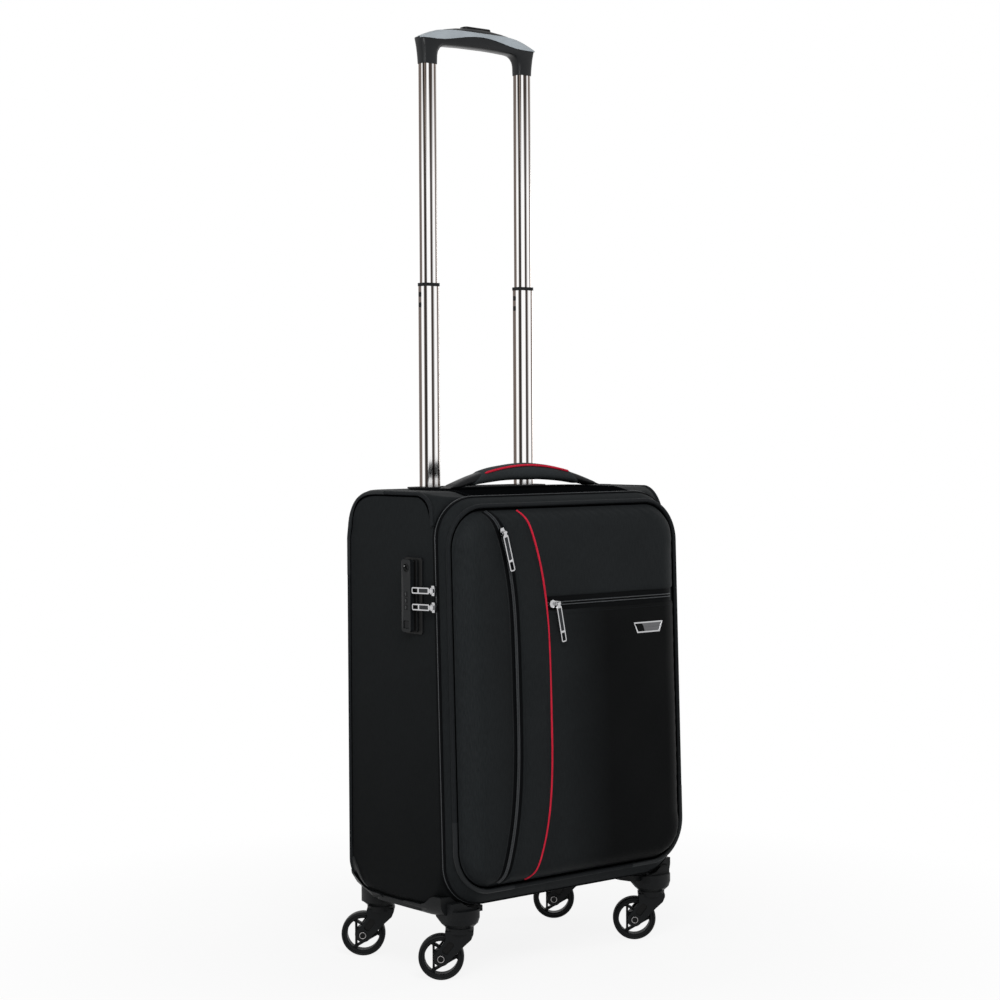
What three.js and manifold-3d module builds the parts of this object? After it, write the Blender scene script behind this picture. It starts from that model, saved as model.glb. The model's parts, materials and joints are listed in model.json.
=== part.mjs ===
// Softside cabin suitcase with a two-stage trolley handle and four swivelling wheels.
// Lengths are millimetres and angles degrees. X runs to the right as seen from the front,
// Y to the back and Z up. The four swivel axes stand round the point that the pieces are drawn from,
// and the finished group is moved so that its box stands centred on the origin.

import * as THREE from 'three';
import { mergeVertices } from 'three/addons/utils/BufferGeometryUtils.js';
import Module from 'manifold-3d';

const wasm = await Module();
wasm.setup();

// Clearances and facets
const gap = 0.3;
const overrun = 4;
const weld = 1e-4;
const cornerSteps = 4;
const pipingSides = 8;
const roundSteps = 16;
const curveSteps = 2;

// Case
const caseWidth = 340;
const caseBottom = 78;
const caseTop = 530;
const caseBack = 92;
const zipPlane = -77;
const shellWall = 3;
const liningWall = 1.5;
const liningBack = 52;
const liningSetBack = 1;
const edgeRadius = 8;
const frontCornerRadius = 50;
const frontCurveStart = -37;
const frontCurveDepth = 33;
const backCornerRadius = 48;
const backCurveStart = 36;
const backCurveDepth = 52;
const backEdgeRadius = 4;
const backPadMargin = 22;
const backPadFoot = 28;
const backPadThick = 1;
const backPadRadius = 12;

// The front leans: at this height the zip and the lid stand where their depths say, above it they
// stand further back and below it further forward.
const frontLeanShare = 0.03;
const frontLeanHeight = 287;

// Piping and zips
const pipingRadius = 2.2;
const pipingSink = 1.4;
const pipingEdgeAngle = 45;
const pipingSideAngle = 0;
const pipingFoot = 100;
const zipProud = 1.2;
const mainZipSetBack = 0.4;
const hingeTapeWidth = 22;
const hingeTapeThickness = 0.9;
const hingeTapeMargin = 8;
const zipFront = zipPlane + mainZipSetBack;
const zipBack = frontCurveStart - frontCurveDepth - gap;

// Lid
const lidFrontPlane = -91;
const lidSideInset = 4;
const lidBottomInset = 17;
const lidTopInset = 10;
const lidHalfWidth = caseWidth / 2 - lidSideInset;
const lidFrontBottom = caseBottom + lidBottomInset;
const lidFrontTop = caseTop - lidTopInset;
const lidFrontRadius = 46;
const lidFrontWall = 2.5;
const lidWall = 3;
const gussetBulge = 1.2;
const gussetShares = [0, 0.35, 0.7, 1];
const bulgeTop = 14;
const bulgeBottom = 16.5;
const bulgeValley = 5;
const bulgeReach = 33;
const bulgeRounding = 2.2;
const bulgeSteps = 5;

// Front pockets
const pocketThickness = 2;
const tapeThickness = 0.8;
const tapeWidth = 12;
const teethWidth = 3.2;
const teethHeight = 1.3;
const sidePocketEdge = 10;
const lineEndMargin = 8;
const sideZipInset = 78;
const sideZipMiddle = 326;
const sideZipFall = 29;
const sideZipPower = 3.45;
const redInset = 125;
const redMiddle = 317;
const redFallTop = 35;
const redFallBottom = 38;
const redPowerTop = 3;
const redPowerBottom = 3.8;
const redRadius = 1.5;
const frontZipHeight = 405.4;
const frontZipMargin = 20;
const zipEndMargin = 18;
const badgeInset = 59;
const badgeHeight = 371.2;
const badgeTopWidth = 45;
const badgeBottomWidth = 35;
const badgeTall = 12.4;
const badgeThickness = 1.2;
const badgeRim = 1.6;

// Zip sliders and pulls
const sliderWide = 6.4;
const sliderLong = 11;
const sliderThick = 3;
const sliderLift = 0.35;
const sliderHeadRadius = 4.6;
const pinRadius = 0.8;
const earThick = 1.1;
const eyeWall = 0.9;
const eyeRadius = pinRadius + gap + eyeWall;
const pinLift = eyeRadius + gap;
const pullWide = 7;
const pullNeck = 4;
const pullThick = 1.8;
const pullWindowLength = 9;
const pullWindowWall = 1.3;
const pullFieldDepth = 0.4;
const frontPullLength = 43;
const mainPullLength = 33.3;
const sideSliderHeight = 486;
const sidePullTurn = 13.4;
const frontPullTurn = 9.5;
const mainSliderUpper = 425;
const mainSliderLower = 407;

// Lock
const lockBottom = 378;
const lockTop = 457;
const lockFaceBack = -18;
const lockFaceFront = -34;
const lockStepFront = -39.5;
const lockFlangeFront = -47;
const lockFlangeMargin = 2;
const lockProud = 8;
const lockStepProud = 3.4;
const lockFlangeProud = 1.8;
const lockCorner = 3;
const lockTongue = 2.4;
const dialRadius = 5.5;
const dialThick = 4.6;
const dialPitch = 7.2;
const dialHeight = 412;
const dialProud = 0.5;
const dialClear = 0.4;
const dialShaft = 1;
const keyHeight = 448;
const keyRadius = 4.4;
const keyDepth = 0.9;
const keySlot = 1.1;
const buttonHeight = 386;
const lockButtonTall = 8;
const lockButtonWide = 9;
const lockButtonTravel = 1.5;

// Trolley handle
const tubeBack = 70;
const tubeSpacing = 141;
const upperTube = { wide: 19, deep: 13, radius: 3, wall: 1.2 };
const middleTube = { wide: 22, deep: 15.5, radius: 3.5, wall: 1.1 };
const outerTube = { wide: 25, deep: 18, radius: 4, wall: 1.05 };
const tubeRun = 0.4;
const cupFloor = 502;
const cupFloorThick = 2;
const cupHalfWidth = 91;
const cupHalfDepth = 15;
const cupWall = 2;
const cupRadius = 8;
const rimOverlap = 2;
const rimThick = 1.7;
const footHeight = 18;
const footFloor = 3;
const footMargin = 6;
const middleBottom = 410;
const middleTop = 762;
const collarTall = 3.6;
const collarProud = 0.6;
const upperBottom = 675;
const rodRadius = 2.4;
const rodBottom = 690;
const rodRun = 0.8;

// Grip
const gripHalfWidth = 84.5;
const gripTop = 1062;
const gripTall = 22.5;
const gripArch = 16.5;
const gripArchPower = 2.3;
const gripUndersideArch = 4;
const gripHalfDepth = 12;
const gripFillet = 12;
const gripShoulder = 18;
const gripRoundShare = 0.62;
const legRoundShare = 0.52;
const legTall = 23.5;
const legWall = 0.9;
const legSteps = 2;
const kneeSteps = 4;
const barSteps = 4;
const legBottom = gripTop - gripTall - legTall;
const legInner = tubeSpacing / 2 - upperTube.wide / 2 - legWall;
const legOuter = tubeSpacing / 2 + upperTube.wide / 2 + legWall;
const legHalfDepth = upperTube.deep / 2 + legWall;
const socketDepth = 18;
const yokeDrop = 14;
const yokeTop = gripTop - yokeDrop;
const yokeTall = 3;
const yokeDeep = 5;
const buttonHalfWidth = 20;
const buttonHalfDepth = 7;
const buttonRadius = 5;
const buttonProud = 2;
const buttonTravel = 3.5;
const buttonEdge = 1;
const inlayThick = 0.9;
const inlayLens = 62;
const inlayDrop = 17.7;
const inlayRise = 7.7;
const inlayRidge = 5.5;
const inlaySteps = 16;

// Carry handle
const handleY = -14;
const handleHalfWidth = 114;
const handleTop = 555.5;
const handleHalfDepth = 14;
const handleGapHalf = 78;
const handleGapTop = 540;
const handleFootThick = 3;
const handleStations = 16;
const handleSides = 10;
const handleTrimHalf = 68;
const handleSquareness = 0.7;
const handleTrimRadius = 1.5;

// Casters
const swivelX = 143.2;
const swivelY = 72.1;
const trailAngle = 140;
const trail = 20;
const wheelRadius = 25;
const wheelWidth = 15;
const rimThickness = 7;
const tyreShoulder = 2.5;
const hubRadius = 9.5;
const chordOffset = 8.3;
const chordThick = 2.6;
const chordWidth = 10;
const chordCount = 3;
const axleRadius = 3;
const axleHeadRadius = 4.4;
const axleHeadThick = 1.4;
const axleSocket = 1.8;
const axleRun = 0.3;
const forkWidth = 25;
const forkTop = 57.7;
const forkCapRadius = 15.4;
const forkCapTall = 6;
const forkBossRadius = 8.2;
const forkSlotDepth = 2;
const forkSlotWide = 7.5;
const forkSlotLong = 15;
const forkSlotCentre = 10.6;
const forkFrontShares = [[-1, 0.5], [-1, 1], [-0.84, 2]];
const forkBackShares = [[0.95, 2], [1, 1], [1, 0.5]];
const forkKneeShares = [-0.33, 1.65];
const forkHeelShares = [0.75, 0.66];
const wheelRun = 1.3;
const wheelSideRun = 0.8;
const stemRadius = 4;
const stemTall = 9;
const stemRun = 0.35;
const housingBottom = 58;
const housingRadius = 20.3;
const housingLip = 15.5;
const housingLipTall = 4.5;
const housingTop = 86;
const housingFlare = 12;
const guardThick = 3;
const guardInner = 30;
const guardBottom = 69.5;
const guardRadius = 14;
const guardBackRadius = 34;
const guardStraightShare = 0.7;
const frontWingRise = 14.7;
const frontWingShares = [[0.11, 0], [0.14, 0.14], [0.56, 0.2], [0.68, 0.41], [0.8, 0.86], [0.87, 1]];
const backWingRise = 20;
const backWingFrontShare = 0.43;
const backWingFootShare = 0.9;
const backWingShares = [[0.43, 0], [0.5, 0.1], [0.73, 0.1], [1.03, 0.15], [1.2, 0.7]];

// Helpers: profiles, lofts and solids

const radians = THREE.MathUtils.degToRad;
const clampUnit = (value) => THREE.MathUtils.clamp(value, 0, 1);

function colour(hex, roughness, metalness = 0) {
  return new THREE.MeshStandardMaterial({ color: hex, roughness, metalness });
}

const fabric = () => colour('#17191c', 0.9);
const pipingPlastic = () => colour('#26292d', 0.5);
const redFabric = () => colour('#c8203a', 0.7);
const liningCloth = () => colour('#3a3d42', 0.95);
const blackPlastic = () => colour('#1b1d20', 0.42);
const greyPlastic = () => colour('#8f969e', 0.35);
const tubeMetal = () => colour('#b9aca4', 0.3, 0.9);
const pullMetal = () => colour('#d9dbde', 0.18, 1);
const steel = () => colour('#8a8d91', 0.35, 1);
const zipTape = () => colour('#101114', 0.85);

function vector(x, y, z) {
  return new THREE.Vector3(x, y, z);
}

// Skins a list of rings of equal length. An open run is closed with a fan at each end.
function loft(rings, joinsItself = false) {
  const count = rings[0].length;
  const points = rings.flat();
  const index = [];
  const runs = joinsItself ? rings.length : rings.length - 1;
  for (let ring = 0; ring < runs; ring += 1) {
    const here = ring * count;
    const there = ((ring + 1) % rings.length) * count;
    for (let step = 0; step < count; step += 1) {
      const next = (step + 1) % count;
      index.push(here + step, there + step, there + next);
      index.push(here + step, there + next, here + next);
    }
  }
  if (!joinsItself) {
    const ends = [rings[0], rings[rings.length - 1]];
    ends.forEach((ring, end) => {
      const start = end * (rings.length - 1) * count;
      const middle = ring.reduce((sum, point) => sum.add(point), vector(0, 0, 0)).divideScalar(count);
      points.push(middle);
      for (let step = 0; step < count; step += 1) {
        const pair = [start + step, start + ((step + 1) % count)];
        if (end === 1) pair.reverse();
        index.push(points.length - 1, ...pair);
      }
    });
  }
  return outward(points, index);
}

// Makes a geometry whose faces point out, whichever way the rings ran.
function outward(points, index) {
  let volume = 0;
  for (let at = 0; at < index.length; at += 3) {
    const [a, b, c] = [points[index[at]], points[index[at + 1]], points[index[at + 2]]];
    volume += a.dot(b.clone().cross(c));
  }
  const faces = volume < 0 ? index.slice().reverse() : index;
  const geometry = new THREE.BufferGeometry();
  const values = points.flatMap((point) => point.toArray());
  geometry.setAttribute('position', new THREE.Float32BufferAttribute(values, 3));
  geometry.setIndex(faces);
  return geometry;
}

function toSolid(geometry) {
  const bare = geometry.clone();
  bare.deleteAttribute('normal');
  bare.deleteAttribute('uv');
  const merged = mergeVertices(bare, weld);
  return new wasm.Manifold(new wasm.Mesh({
    numProp: 3,
    vertProperties: new Float32Array(merged.attributes.position.array),
    triVerts: new Uint32Array(merged.index.array),
  }));
}

function toGeometry(solid) {
  const mesh = solid.getMesh();
  const geometry = new THREE.BufferGeometry();
  geometry.setAttribute('position', new THREE.Float32BufferAttribute(mesh.vertProperties, 3));
  geometry.setIndex(Array.from(mesh.triVerts));
  return geometry;
}

function join(...geometries) {
  const solids = geometries.map(toSolid);
  return toGeometry(solids.reduce((sum, solid) => sum.add(solid)));
}

function cut(geometry, ...tools) {
  const solid = tools.map(toSolid).reduce((left, tool) => left.subtract(tool), toSolid(geometry));
  return toGeometry(solid);
}

function common(...geometries) {
  const solids = geometries.map(toSolid);
  return toGeometry(solids.reduce((left, solid) => left.intersect(solid)));
}

function moved(geometry, x, y, z) {
  return geometry.clone().translate(x, y, z);
}

function mirroredX(geometry) {
  const points = [];
  const position = geometry.attributes.position;
  for (let at = 0; at < position.count; at += 1) {
    points.push(vector(-position.getX(at), position.getY(at), position.getZ(at)));
  }
  return outward(points, Array.from(geometry.index.array));
}

function roundedRectShape(wide, tall, radius) {
  const shape = new THREE.Shape();
  const x = wide / 2 - radius;
  const y = tall / 2 - radius;
  shape.absarc(x, y, radius, 0, Math.PI / 2);
  shape.absarc(-x, y, radius, Math.PI / 2, Math.PI);
  shape.absarc(-x, -y, radius, Math.PI, 3 * Math.PI / 2);
  shape.absarc(x, -y, radius, 3 * Math.PI / 2, 2 * Math.PI);
  return shape;
}

function polygon(pairs) {
  return new THREE.Shape(pairs.map(([x, y]) => new THREE.Vector2(x, y)));
}

function extruded(shape, depth, bevel = 0, curveSegments = curveSteps) {
  return new THREE.ExtrudeGeometry(shape, {
    depth: depth - 2 * bevel,
    bevelEnabled: bevel > 0,
    bevelThickness: bevel,
    bevelSize: bevel,
    bevelOffset: -bevel,
    bevelSegments: 1,
    curveSegments,
  }).translate(0, 0, bevel);
}

// A shape drawn in X and Y, carried up from one height to another.
function standing(shape, low, high, bevel = 0, curveSegments = curveSteps) {
  return extruded(shape, high - low, bevel, curveSegments).translate(0, 0, low);
}

// A shape drawn in X and Z, carried back from one depth to another.
function alongY(shape, front, back, bevel = 0, curveSegments = curveSteps) {
  return extruded(shape, back - front, bevel, curveSegments).rotateX(Math.PI / 2).translate(0, back, 0);
}

// A shape drawn in Y and Z, carried from one X to another.
function alongX(shape, left, right, bevel = 0, curveSegments = curveSteps) {
  const turn = new THREE.Matrix4().makeBasis(vector(0, 1, 0), vector(0, 0, 1), vector(1, 0, 0));
  return extruded(shape, right - left, bevel, curveSegments).applyMatrix4(turn).translate(left, 0, 0);
}

function cylinder(radius, length, steps = roundSteps) {
  return new THREE.CylinderGeometry(radius, radius, length, steps);
}

// How far back the leaning front stands at a height.
function leanAt(z) {
  return frontLeanShare * (z - frontLeanHeight);
}

// Leans a piece that was drawn upright with the lid or the zip.
function leaning(geometry) {
  return geometry.clone().applyMatrix4(new THREE.Matrix4().set(
    1, 0, 0, 0,
    0, 1, frontLeanShare, -frontLeanShare * frontLeanHeight,
    0, 0, 1, 0,
    0, 0, 0, 1,
  ));
}

// A rounded rectangle in X and Z at one depth, with the same points whatever its size.
function outlineRing({ halfWidth, bottom, top, radius }, y) {
  const ring = [];
  const centres = [
    [halfWidth - radius, top - radius],
    [radius - halfWidth, top - radius],
    [radius - halfWidth, bottom + radius],
    [halfWidth - radius, bottom + radius],
  ];
  centres.forEach(([x, z], quarter) => {
    for (let step = 0; step <= cornerSteps; step += 1) {
      const angle = (quarter + step / cornerSteps) * Math.PI / 2;
      ring.push(vector(x + radius * Math.cos(angle), y, z + radius * Math.sin(angle)));
    }
  });
  return ring;
}

function grown(outline, by) {
  return {
    halfWidth: outline.halfWidth + by,
    bottom: outline.bottom - by,
    top: outline.top + by,
    radius: Math.max(outline.radius + by, gap),
  };
}

// A horizontal rounded rectangle between two X and two Y limits, at one height.
function levelRing(left, right, front, back, radius, z, steps = cornerSteps) {
  const ring = [];
  const centres = [
    [right - radius, back - radius],
    [left + radius, back - radius],
    [left + radius, front + radius],
    [right - radius, front + radius],
  ];
  centres.forEach(([x, y], quarter) => {
    for (let step = 0; step <= steps; step += 1) {
      const angle = (quarter + step / steps) * Math.PI / 2;
      ring.push(vector(x + radius * Math.cos(angle), y + radius * Math.sin(angle), z));
    }
  });
  return ring;
}

// A round cord along a list of points, with flat ends. Each ring's first point is carried on from
// the one before, so that the cord doesn't twist.
function cord(points, radius) {
  let side = vector(0, 0, 0);
  const rings = points.map((point, at) => {
    const before = points[Math.max(at - 1, 0)];
    const after = points[Math.min(at + 1, points.length - 1)];
    const ahead = after.clone().sub(before).normalize();
    if (at === 0) side = leastAlong(ahead);
    side = side.clone().addScaledVector(ahead, -side.dot(ahead)).normalize();
    const across = ahead.clone().cross(side);
    return Array.from({ length: pipingSides }, (_, step) => {
      const angle = step / pipingSides * 2 * Math.PI;
      return point.clone()
        .addScaledVector(side, radius * Math.cos(angle))
        .addScaledVector(across, radius * Math.sin(angle));
    });
  });
  return loft(rings);
}

// The axis that a direction runs least along.
function leastAlong(direction) {
  const sizes = direction.toArray().map(Math.abs);
  const axis = vector(0, 0, 0);
  axis.setComponent(sizes.indexOf(Math.min(...sizes)), 1);
  return axis;
}

// Case body

// The corners are tight along the case's middle and open out towards the zip and the back.
function cornerRadiusAt(y) {
  const front = clampUnit((frontCurveStart - y) / frontCurveDepth);
  const back = clampUnit((y - backCurveStart) / backCurveDepth);
  const frontGrowth = (frontCornerRadius - edgeRadius) * (1 - Math.sqrt(1 - front ** 2));
  const backGrowth = (backCornerRadius - edgeRadius) * (1 - Math.sqrt(1 - back ** 2));
  return edgeRadius + frontGrowth + backGrowth;
}

function caseOutline(y, by = 0) {
  const outline = {
    halfWidth: caseWidth / 2, bottom: caseBottom, top: caseTop, radius: cornerRadiusAt(y),
  };
  return grown(outline, by);
}

// Depths at which the outline is taken, closer together where the corners curve.
function caseStations(front, back) {
  const stations = [front];
  for (let step = cornerSteps; step >= 0; step -= 1) {
    stations.push(frontCurveStart - frontCurveDepth * Math.sin(step / cornerSteps * Math.PI / 2));
  }
  for (let step = 0; step <= cornerSteps; step += 1) {
    stations.push(backCurveStart + backCurveDepth * Math.sin(step / cornerSteps * Math.PI / 2));
  }
  return [...stations.filter((y) => y >= front && y < back), back];
}

// The lean fades out from the zip to the middle of the case.
function caseRing(y, by) {
  const share = clampUnit((frontCurveStart - y) / frontCurveDepth);
  return outlineRing(caseOutline(y, by), y)
    .map((point) => vector(point.x, point.y + share * leanAt(point.z), point.z));
}

function caseRings(front, back, by) {
  return caseStations(front, back).map((y) => caseRing(y, by));
}

// The rounded edge where the sides turn into the back panel.
function backEdgeRings(by) {
  const rings = [];
  const start = caseBack - backEdgeRadius;
  for (let step = 1; step <= 2; step += 1) {
    const angle = step / 2 * Math.PI / 2;
    const radius = backEdgeRadius + by;
    const inset = by - radius * (1 - Math.cos(angle));
    rings.push(outlineRing(caseOutline(start, inset), start + radius * Math.sin(angle)));
  }
  return rings;
}

// The whole outer form of the case, grown by a margin, for cutting what fits round it.
function caseForm(by) {
  return loft([...caseRings(zipPlane - by, caseBack - backEdgeRadius, by), ...backEdgeRings(by)]);
}

// The back board stands out a little between the piping and the guards.
function backPad() {
  const low = caseBottom + backPadFoot;
  const high = caseTop - backPadMargin;
  const shape = roundedRectShape(caseWidth - 2 * backPadMargin, high - low, backPadRadius);
  return alongY(shape, caseBack - shellWall / 2, caseBack + backPadThick).translate(0, 0, (low + high) / 2);
}

function caseShell() {
  const innerBack = caseBack - shellWall;
  const inner = caseRings(zipPlane, innerBack - backEdgeRadius, -shellWall);
  inner.push(outlineRing(caseOutline(innerBack - backEdgeRadius, -shellWall - backEdgeRadius / 2), innerBack));
  const outer = [...caseRings(zipPlane, caseBack - backEdgeRadius, 0), ...backEdgeRings(0)];
  const tub = join(loft([...inner.reverse(), ...outer]), backPad());
  const cupHole = standing(
    roundedRectShape(
      2 * (cupHalfWidth + cupWall + gap),
      2 * (cupHalfDepth + cupWall + gap),
      cupRadius + cupWall + gap,
    ),
    caseTop - shellWall - overrun,
    caseTop + overrun,
  ).translate(0, tubeBack, 0);
  return cut(tub, cupHole, lockWindow());
}

function caseLining() {
  const outerBy = -shellWall - gap;
  const innerBy = outerBy - liningWall;
  const front = zipPlane + liningSetBack;
  const outer = caseRings(front, liningBack, outerBy);
  outer.push(outlineRing(caseOutline(liningBack, outerBy), liningBack));
  const inner = caseRings(front, liningBack - liningWall, innerBy);
  inner.push(outlineRing(caseOutline(liningBack - liningWall, innerBy), liningBack - liningWall));
  return loft([...inner.reverse(), ...outer]);
}

// A point of the case's surface along the piping line, which leaves the edge's middle as the
// corner opens and runs down the side panel's outline.
function pipingPoint(y) {
  const radius = cornerRadiusAt(y);
  const open = (radius - edgeRadius) / (frontCornerRadius - edgeRadius);
  const angle = radians(THREE.MathUtils.lerp(pipingEdgeAngle, pipingSideAngle, clampUnit(open)));
  const reach = radius + pipingRadius - pipingSink;
  const z = caseTop - radius + reach * Math.sin(angle);
  const share = clampUnit((frontCurveStart - y) / frontCurveDepth);
  return vector(caseWidth / 2 - radius + reach * Math.cos(angle), y + share * leanAt(z), z);
}

function sidePiping() {
  const start = zipBack + pipingRadius + 2 * gap;
  const run = caseStations(start, caseBack - backEdgeRadius).map(pipingPoint);
  const edge = caseBack - backEdgeRadius + (backEdgeRadius + pipingRadius - pipingSink) * Math.SQRT1_2;
  const side = caseWidth / 2 - backEdgeRadius + (backEdgeRadius + pipingRadius - pipingSink) * Math.SQRT1_2;
  const bend = caseTop - backCornerRadius;
  run.pop();
  run.push(vector(side, edge, bend - backCornerRadius / 4));
  run.push(vector(side, edge, (bend + pipingFoot) / 2));
  run.push(vector(side, edge, pipingFoot));
  return cut(cord(run, pipingRadius), caseForm(gap));
}

// A flat band that follows the zip line round the case between two points of its outline.
function outlineBand(first, last, front, back, low, high) {
  const inner = outlineRing(caseOutline(zipPlane, low), 0);
  const outer = outlineRing(caseOutline(zipPlane, high), 0);
  const count = inner.length;
  const rings = [];
  for (let step = first; step <= last; step += 1) {
    const near = inner[step % count];
    const far = outer[step % count];
    rings.push([
      vector(near.x, front, near.z),
      vector(far.x, front, far.z),
      vector(far.x, back, far.z),
      vector(near.x, back, near.z),
    ]);
  }
  return loft(rings);
}

// The zip runs over the top, down the left side and along the bottom: the right side is the hinge.
function mainZipChain() {
  const pointsPerCorner = cornerSteps + 1;
  return leaning(outlineBand(0, 4 * pointsPerCorner - 1, zipFront, zipBack, gap, gap + zipProud));
}

function lidHingeTape() {
  const start = caseBottom + frontCornerRadius + hingeTapeMargin;
  const end = caseTop - frontCornerRadius - hingeTapeMargin;
  const tape = roundedRectShape(hingeTapeWidth, end - start, hingeTapeWidth / 4);
  const side = caseWidth / 2 + gap;
  return leaning(moved(
    alongX(tape, side, side + hingeTapeThickness),
    0,
    zipFront + hingeTapeWidth / 2,
    (start + end) / 2,
  ));
}

// Corner guards

// The upper edge of a guard's side, from points given as shares of the way to the swivel and of its rise.
function wingEdge(shares, rise) {
  return shares.map(([along, up]) => [-along * swivelY, caseBottom + up * rise]);
}

// Side outline of the moulding that wraps a bottom corner, drawn for a front corner.
function frontWing() {
  const near = swivelY + guardThick;
  return polygon([
    [-near, caseBottom + frontWingRise],
    [-near, guardBottom],
    [-swivelY / 2, guardBottom],
    [-swivelY / 6, guardBottom + guardThick],
    ...wingEdge(frontWingShares, frontWingRise),
  ]);
}

function backWing() {
  const near = caseBack + guardThick;
  const lip = housingBottom + housingLipTall;
  return polygon([
    [-near, caseBottom + backWingRise],
    [-near, lip],
    [-swivelY * backWingFootShare, lip],
    [-swivelY * backWingFrontShare, guardBottom],
    ...wingEdge(backWingShares, backWingRise),
  ]);
}

// The outer form of a guard: square along the case and rounder round the back corner.
function guardEnvelope(isBack) {
  const halfWidth = caseWidth / 2 + guardThick;
  const outline = { halfWidth, bottom: guardBottom, top: caseTop, radius: guardRadius };
  const far = grown(outline, -guardThick);
  far.radius = isBack ? guardBackRadius : guardRadius;
  return loft([
    outlineRing(outline, 0),
    outlineRing(outline, -swivelY * guardStraightShare),
    outlineRing(far, -caseBack - guardThick),
  ]);
}

// The housing that the caster's fork turns under.
function swivelHousing(isBack) {
  const flare = isBack ? 0 : housingFlare;
  const lip = housingBottom + housingLipTall;
  const section = (reach, back, radius, z) => levelRing(
    swivelX - reach, swivelX + reach, -swivelY - reach, -swivelY + back, radius, z,
  );
  return loft([
    section(housingLip, housingLip, housingLip, housingBottom),
    section(housingRadius, housingRadius, housingRadius - gap, lip),
    section(housingRadius, housingRadius + flare / 2, housingLip, lip + flare / 2),
    section(housingRadius, housingRadius + flare, housingLip, housingTop),
  ]);
}

// What a guard is cut clear of: the case, the zip band, the swinging lid and the fork's stem.
function guardClearances() {
  const zip = loft([
    outlineRing(caseOutline(zipPlane, 2 * gap + zipProud), zipPlane - gap),
    outlineRing(caseOutline(zipPlane, 2 * gap + zipProud), zipBack + gap),
  ]);
  const lidRoom = new THREE.BoxGeometry(2 * caseWidth, caseWidth, caseTop)
    .translate(0, zipPlane - gap - caseWidth / 2, caseBottom - gap + caseTop / 2);
  return [caseForm(gap), leaning(zip), leaning(lidRoom)];
}

function cornerGuard(isBack) {
  const outline = isBack ? backWing() : frontWing();
  const wing = alongX(outline, swivelX - guardInner, caseWidth / 2 + guardThick);
  const bore = cylinder(stemRadius + stemRun, 2 * (stemTall + stemRun), roundSteps / 2)
    .rotateX(Math.PI / 2)
    .translate(swivelX, -swivelY, housingBottom);
  const guard = cut(join(common(wing, guardEnvelope(isBack)), swivelHousing(isBack)), bore);
  if (isBack) guard.rotateZ(Math.PI);
  return cut(guard, ...guardClearances());
}

// Lid

function lidFrontOutline(inset = 0) {
  return grown({
    halfWidth: lidHalfWidth, bottom: lidFrontBottom, top: lidFrontTop, radius: lidFrontRadius,
  }, -inset);
}

// How far the padded front stands out of the lid's front plane, at full fill.
function fullBulge(z) {
  const share = (lidFrontTop - z) / (lidFrontTop - lidFrontBottom);
  return THREE.MathUtils.lerp(bulgeTop, bulgeBottom, share);
}

// The padding starts behind a flat valley along the piping and is full at its reach.
function fillShare(inset) {
  return 1 - (1 - clampUnit((inset - bulgeValley) / (bulgeReach - bulgeValley))) ** bulgeRounding;
}

// The pockets' plane at a height, inside the rounded border.
function frontAt(z, lift = 0) {
  return lidFrontPlane - fullBulge(z) - lift;
}

function frontRing(inset, lift) {
  return outlineRing(lidFrontOutline(inset), 0).map((point) => vector(
    point.x,
    lidFrontPlane - fullBulge(point.z) * fillShare(inset) - lift,
    point.z,
  ));
}

function frontRings(lift) {
  const rings = [frontRing(0, lift)];
  for (let step = 0; step <= bulgeSteps; step += 1) {
    const share = 1 - Math.cos(step / bulgeSteps * Math.PI / 2);
    rings.push(frontRing(THREE.MathUtils.lerp(bulgeValley, bulgeReach, share), lift));
  }
  return rings;
}

function gussetRing(share, by) {
  const start = caseOutline(zipPlane, by);
  const end = grown(lidFrontOutline(), by);
  const bulge = gussetBulge * Math.sin(share * Math.PI);
  const outline = {
    halfWidth: THREE.MathUtils.lerp(start.halfWidth, end.halfWidth, share) + bulge,
    bottom: THREE.MathUtils.lerp(start.bottom, end.bottom, share) - bulge,
    top: THREE.MathUtils.lerp(start.top, end.top, share) + bulge,
    radius: THREE.MathUtils.lerp(start.radius, end.radius, share),
  };
  const y = THREE.MathUtils.lerp(zipPlane - gap, lidFrontPlane, share);
  return outlineRing(outline, y);
}

// The lid is a shallow tray: a gusset round the zip line and a padded front.
function lidShell() {
  const outer = [...gussetShares.map((share) => gussetRing(share, 0)), ...frontRings(0)];
  const inner = gussetShares.slice(0, -1).map((share) => gussetRing(share, -lidWall));
  const floor = lidFrontPlane + lidFrontWall;
  inner.push(outlineRing(lidFrontOutline(lidWall), floor));
  inner.push(outlineRing(lidFrontOutline(bulgeReach), floor));
  return loft([...inner.reverse(), ...outer]);
}

function lidPiping() {
  const rings = [];
  for (let side = 0; side < pipingSides; side += 1) {
    const angle = side / pipingSides * 2 * Math.PI;
    const offset = pipingRadius - pipingSink / 2;
    const outline = lidFrontOutline(-offset * Math.SQRT1_2 - pipingRadius * Math.cos(angle));
    const y = lidFrontPlane - offset * Math.SQRT1_2 - pipingRadius * Math.sin(angle);
    rings.push(outlineRing(outline, y));
  }
  const form = loft([...gussetShares.map((share) => gussetRing(share, gap)), ...frontRings(gap)]);
  return cut(loft(rings, true), form);
}

// The padded front grown by a lift, with its back well behind.
function frontForm(lift) {
  return loft([outlineRing(lidFrontOutline(), lidFrontPlane + lidFrontWall), ...frontRings(lift)]);
}

// A thin layer that lies on the padded front between two lifts.
function frontSheet(low, high) {
  return cut(frontForm(high), frontForm(low));
}

// A line that bows sideways from a crown and falls away towards its two ends.
function bowedX(z, { crown, middle, top, bottom, fallTop, fallBottom, powerTop, powerBottom }) {
  return z > middle
    ? crown - fallTop * ((z - middle) / (top - middle)) ** powerTop
    : crown - fallBottom * ((middle - z) / (middle - bottom)) ** powerBottom;
}

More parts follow.
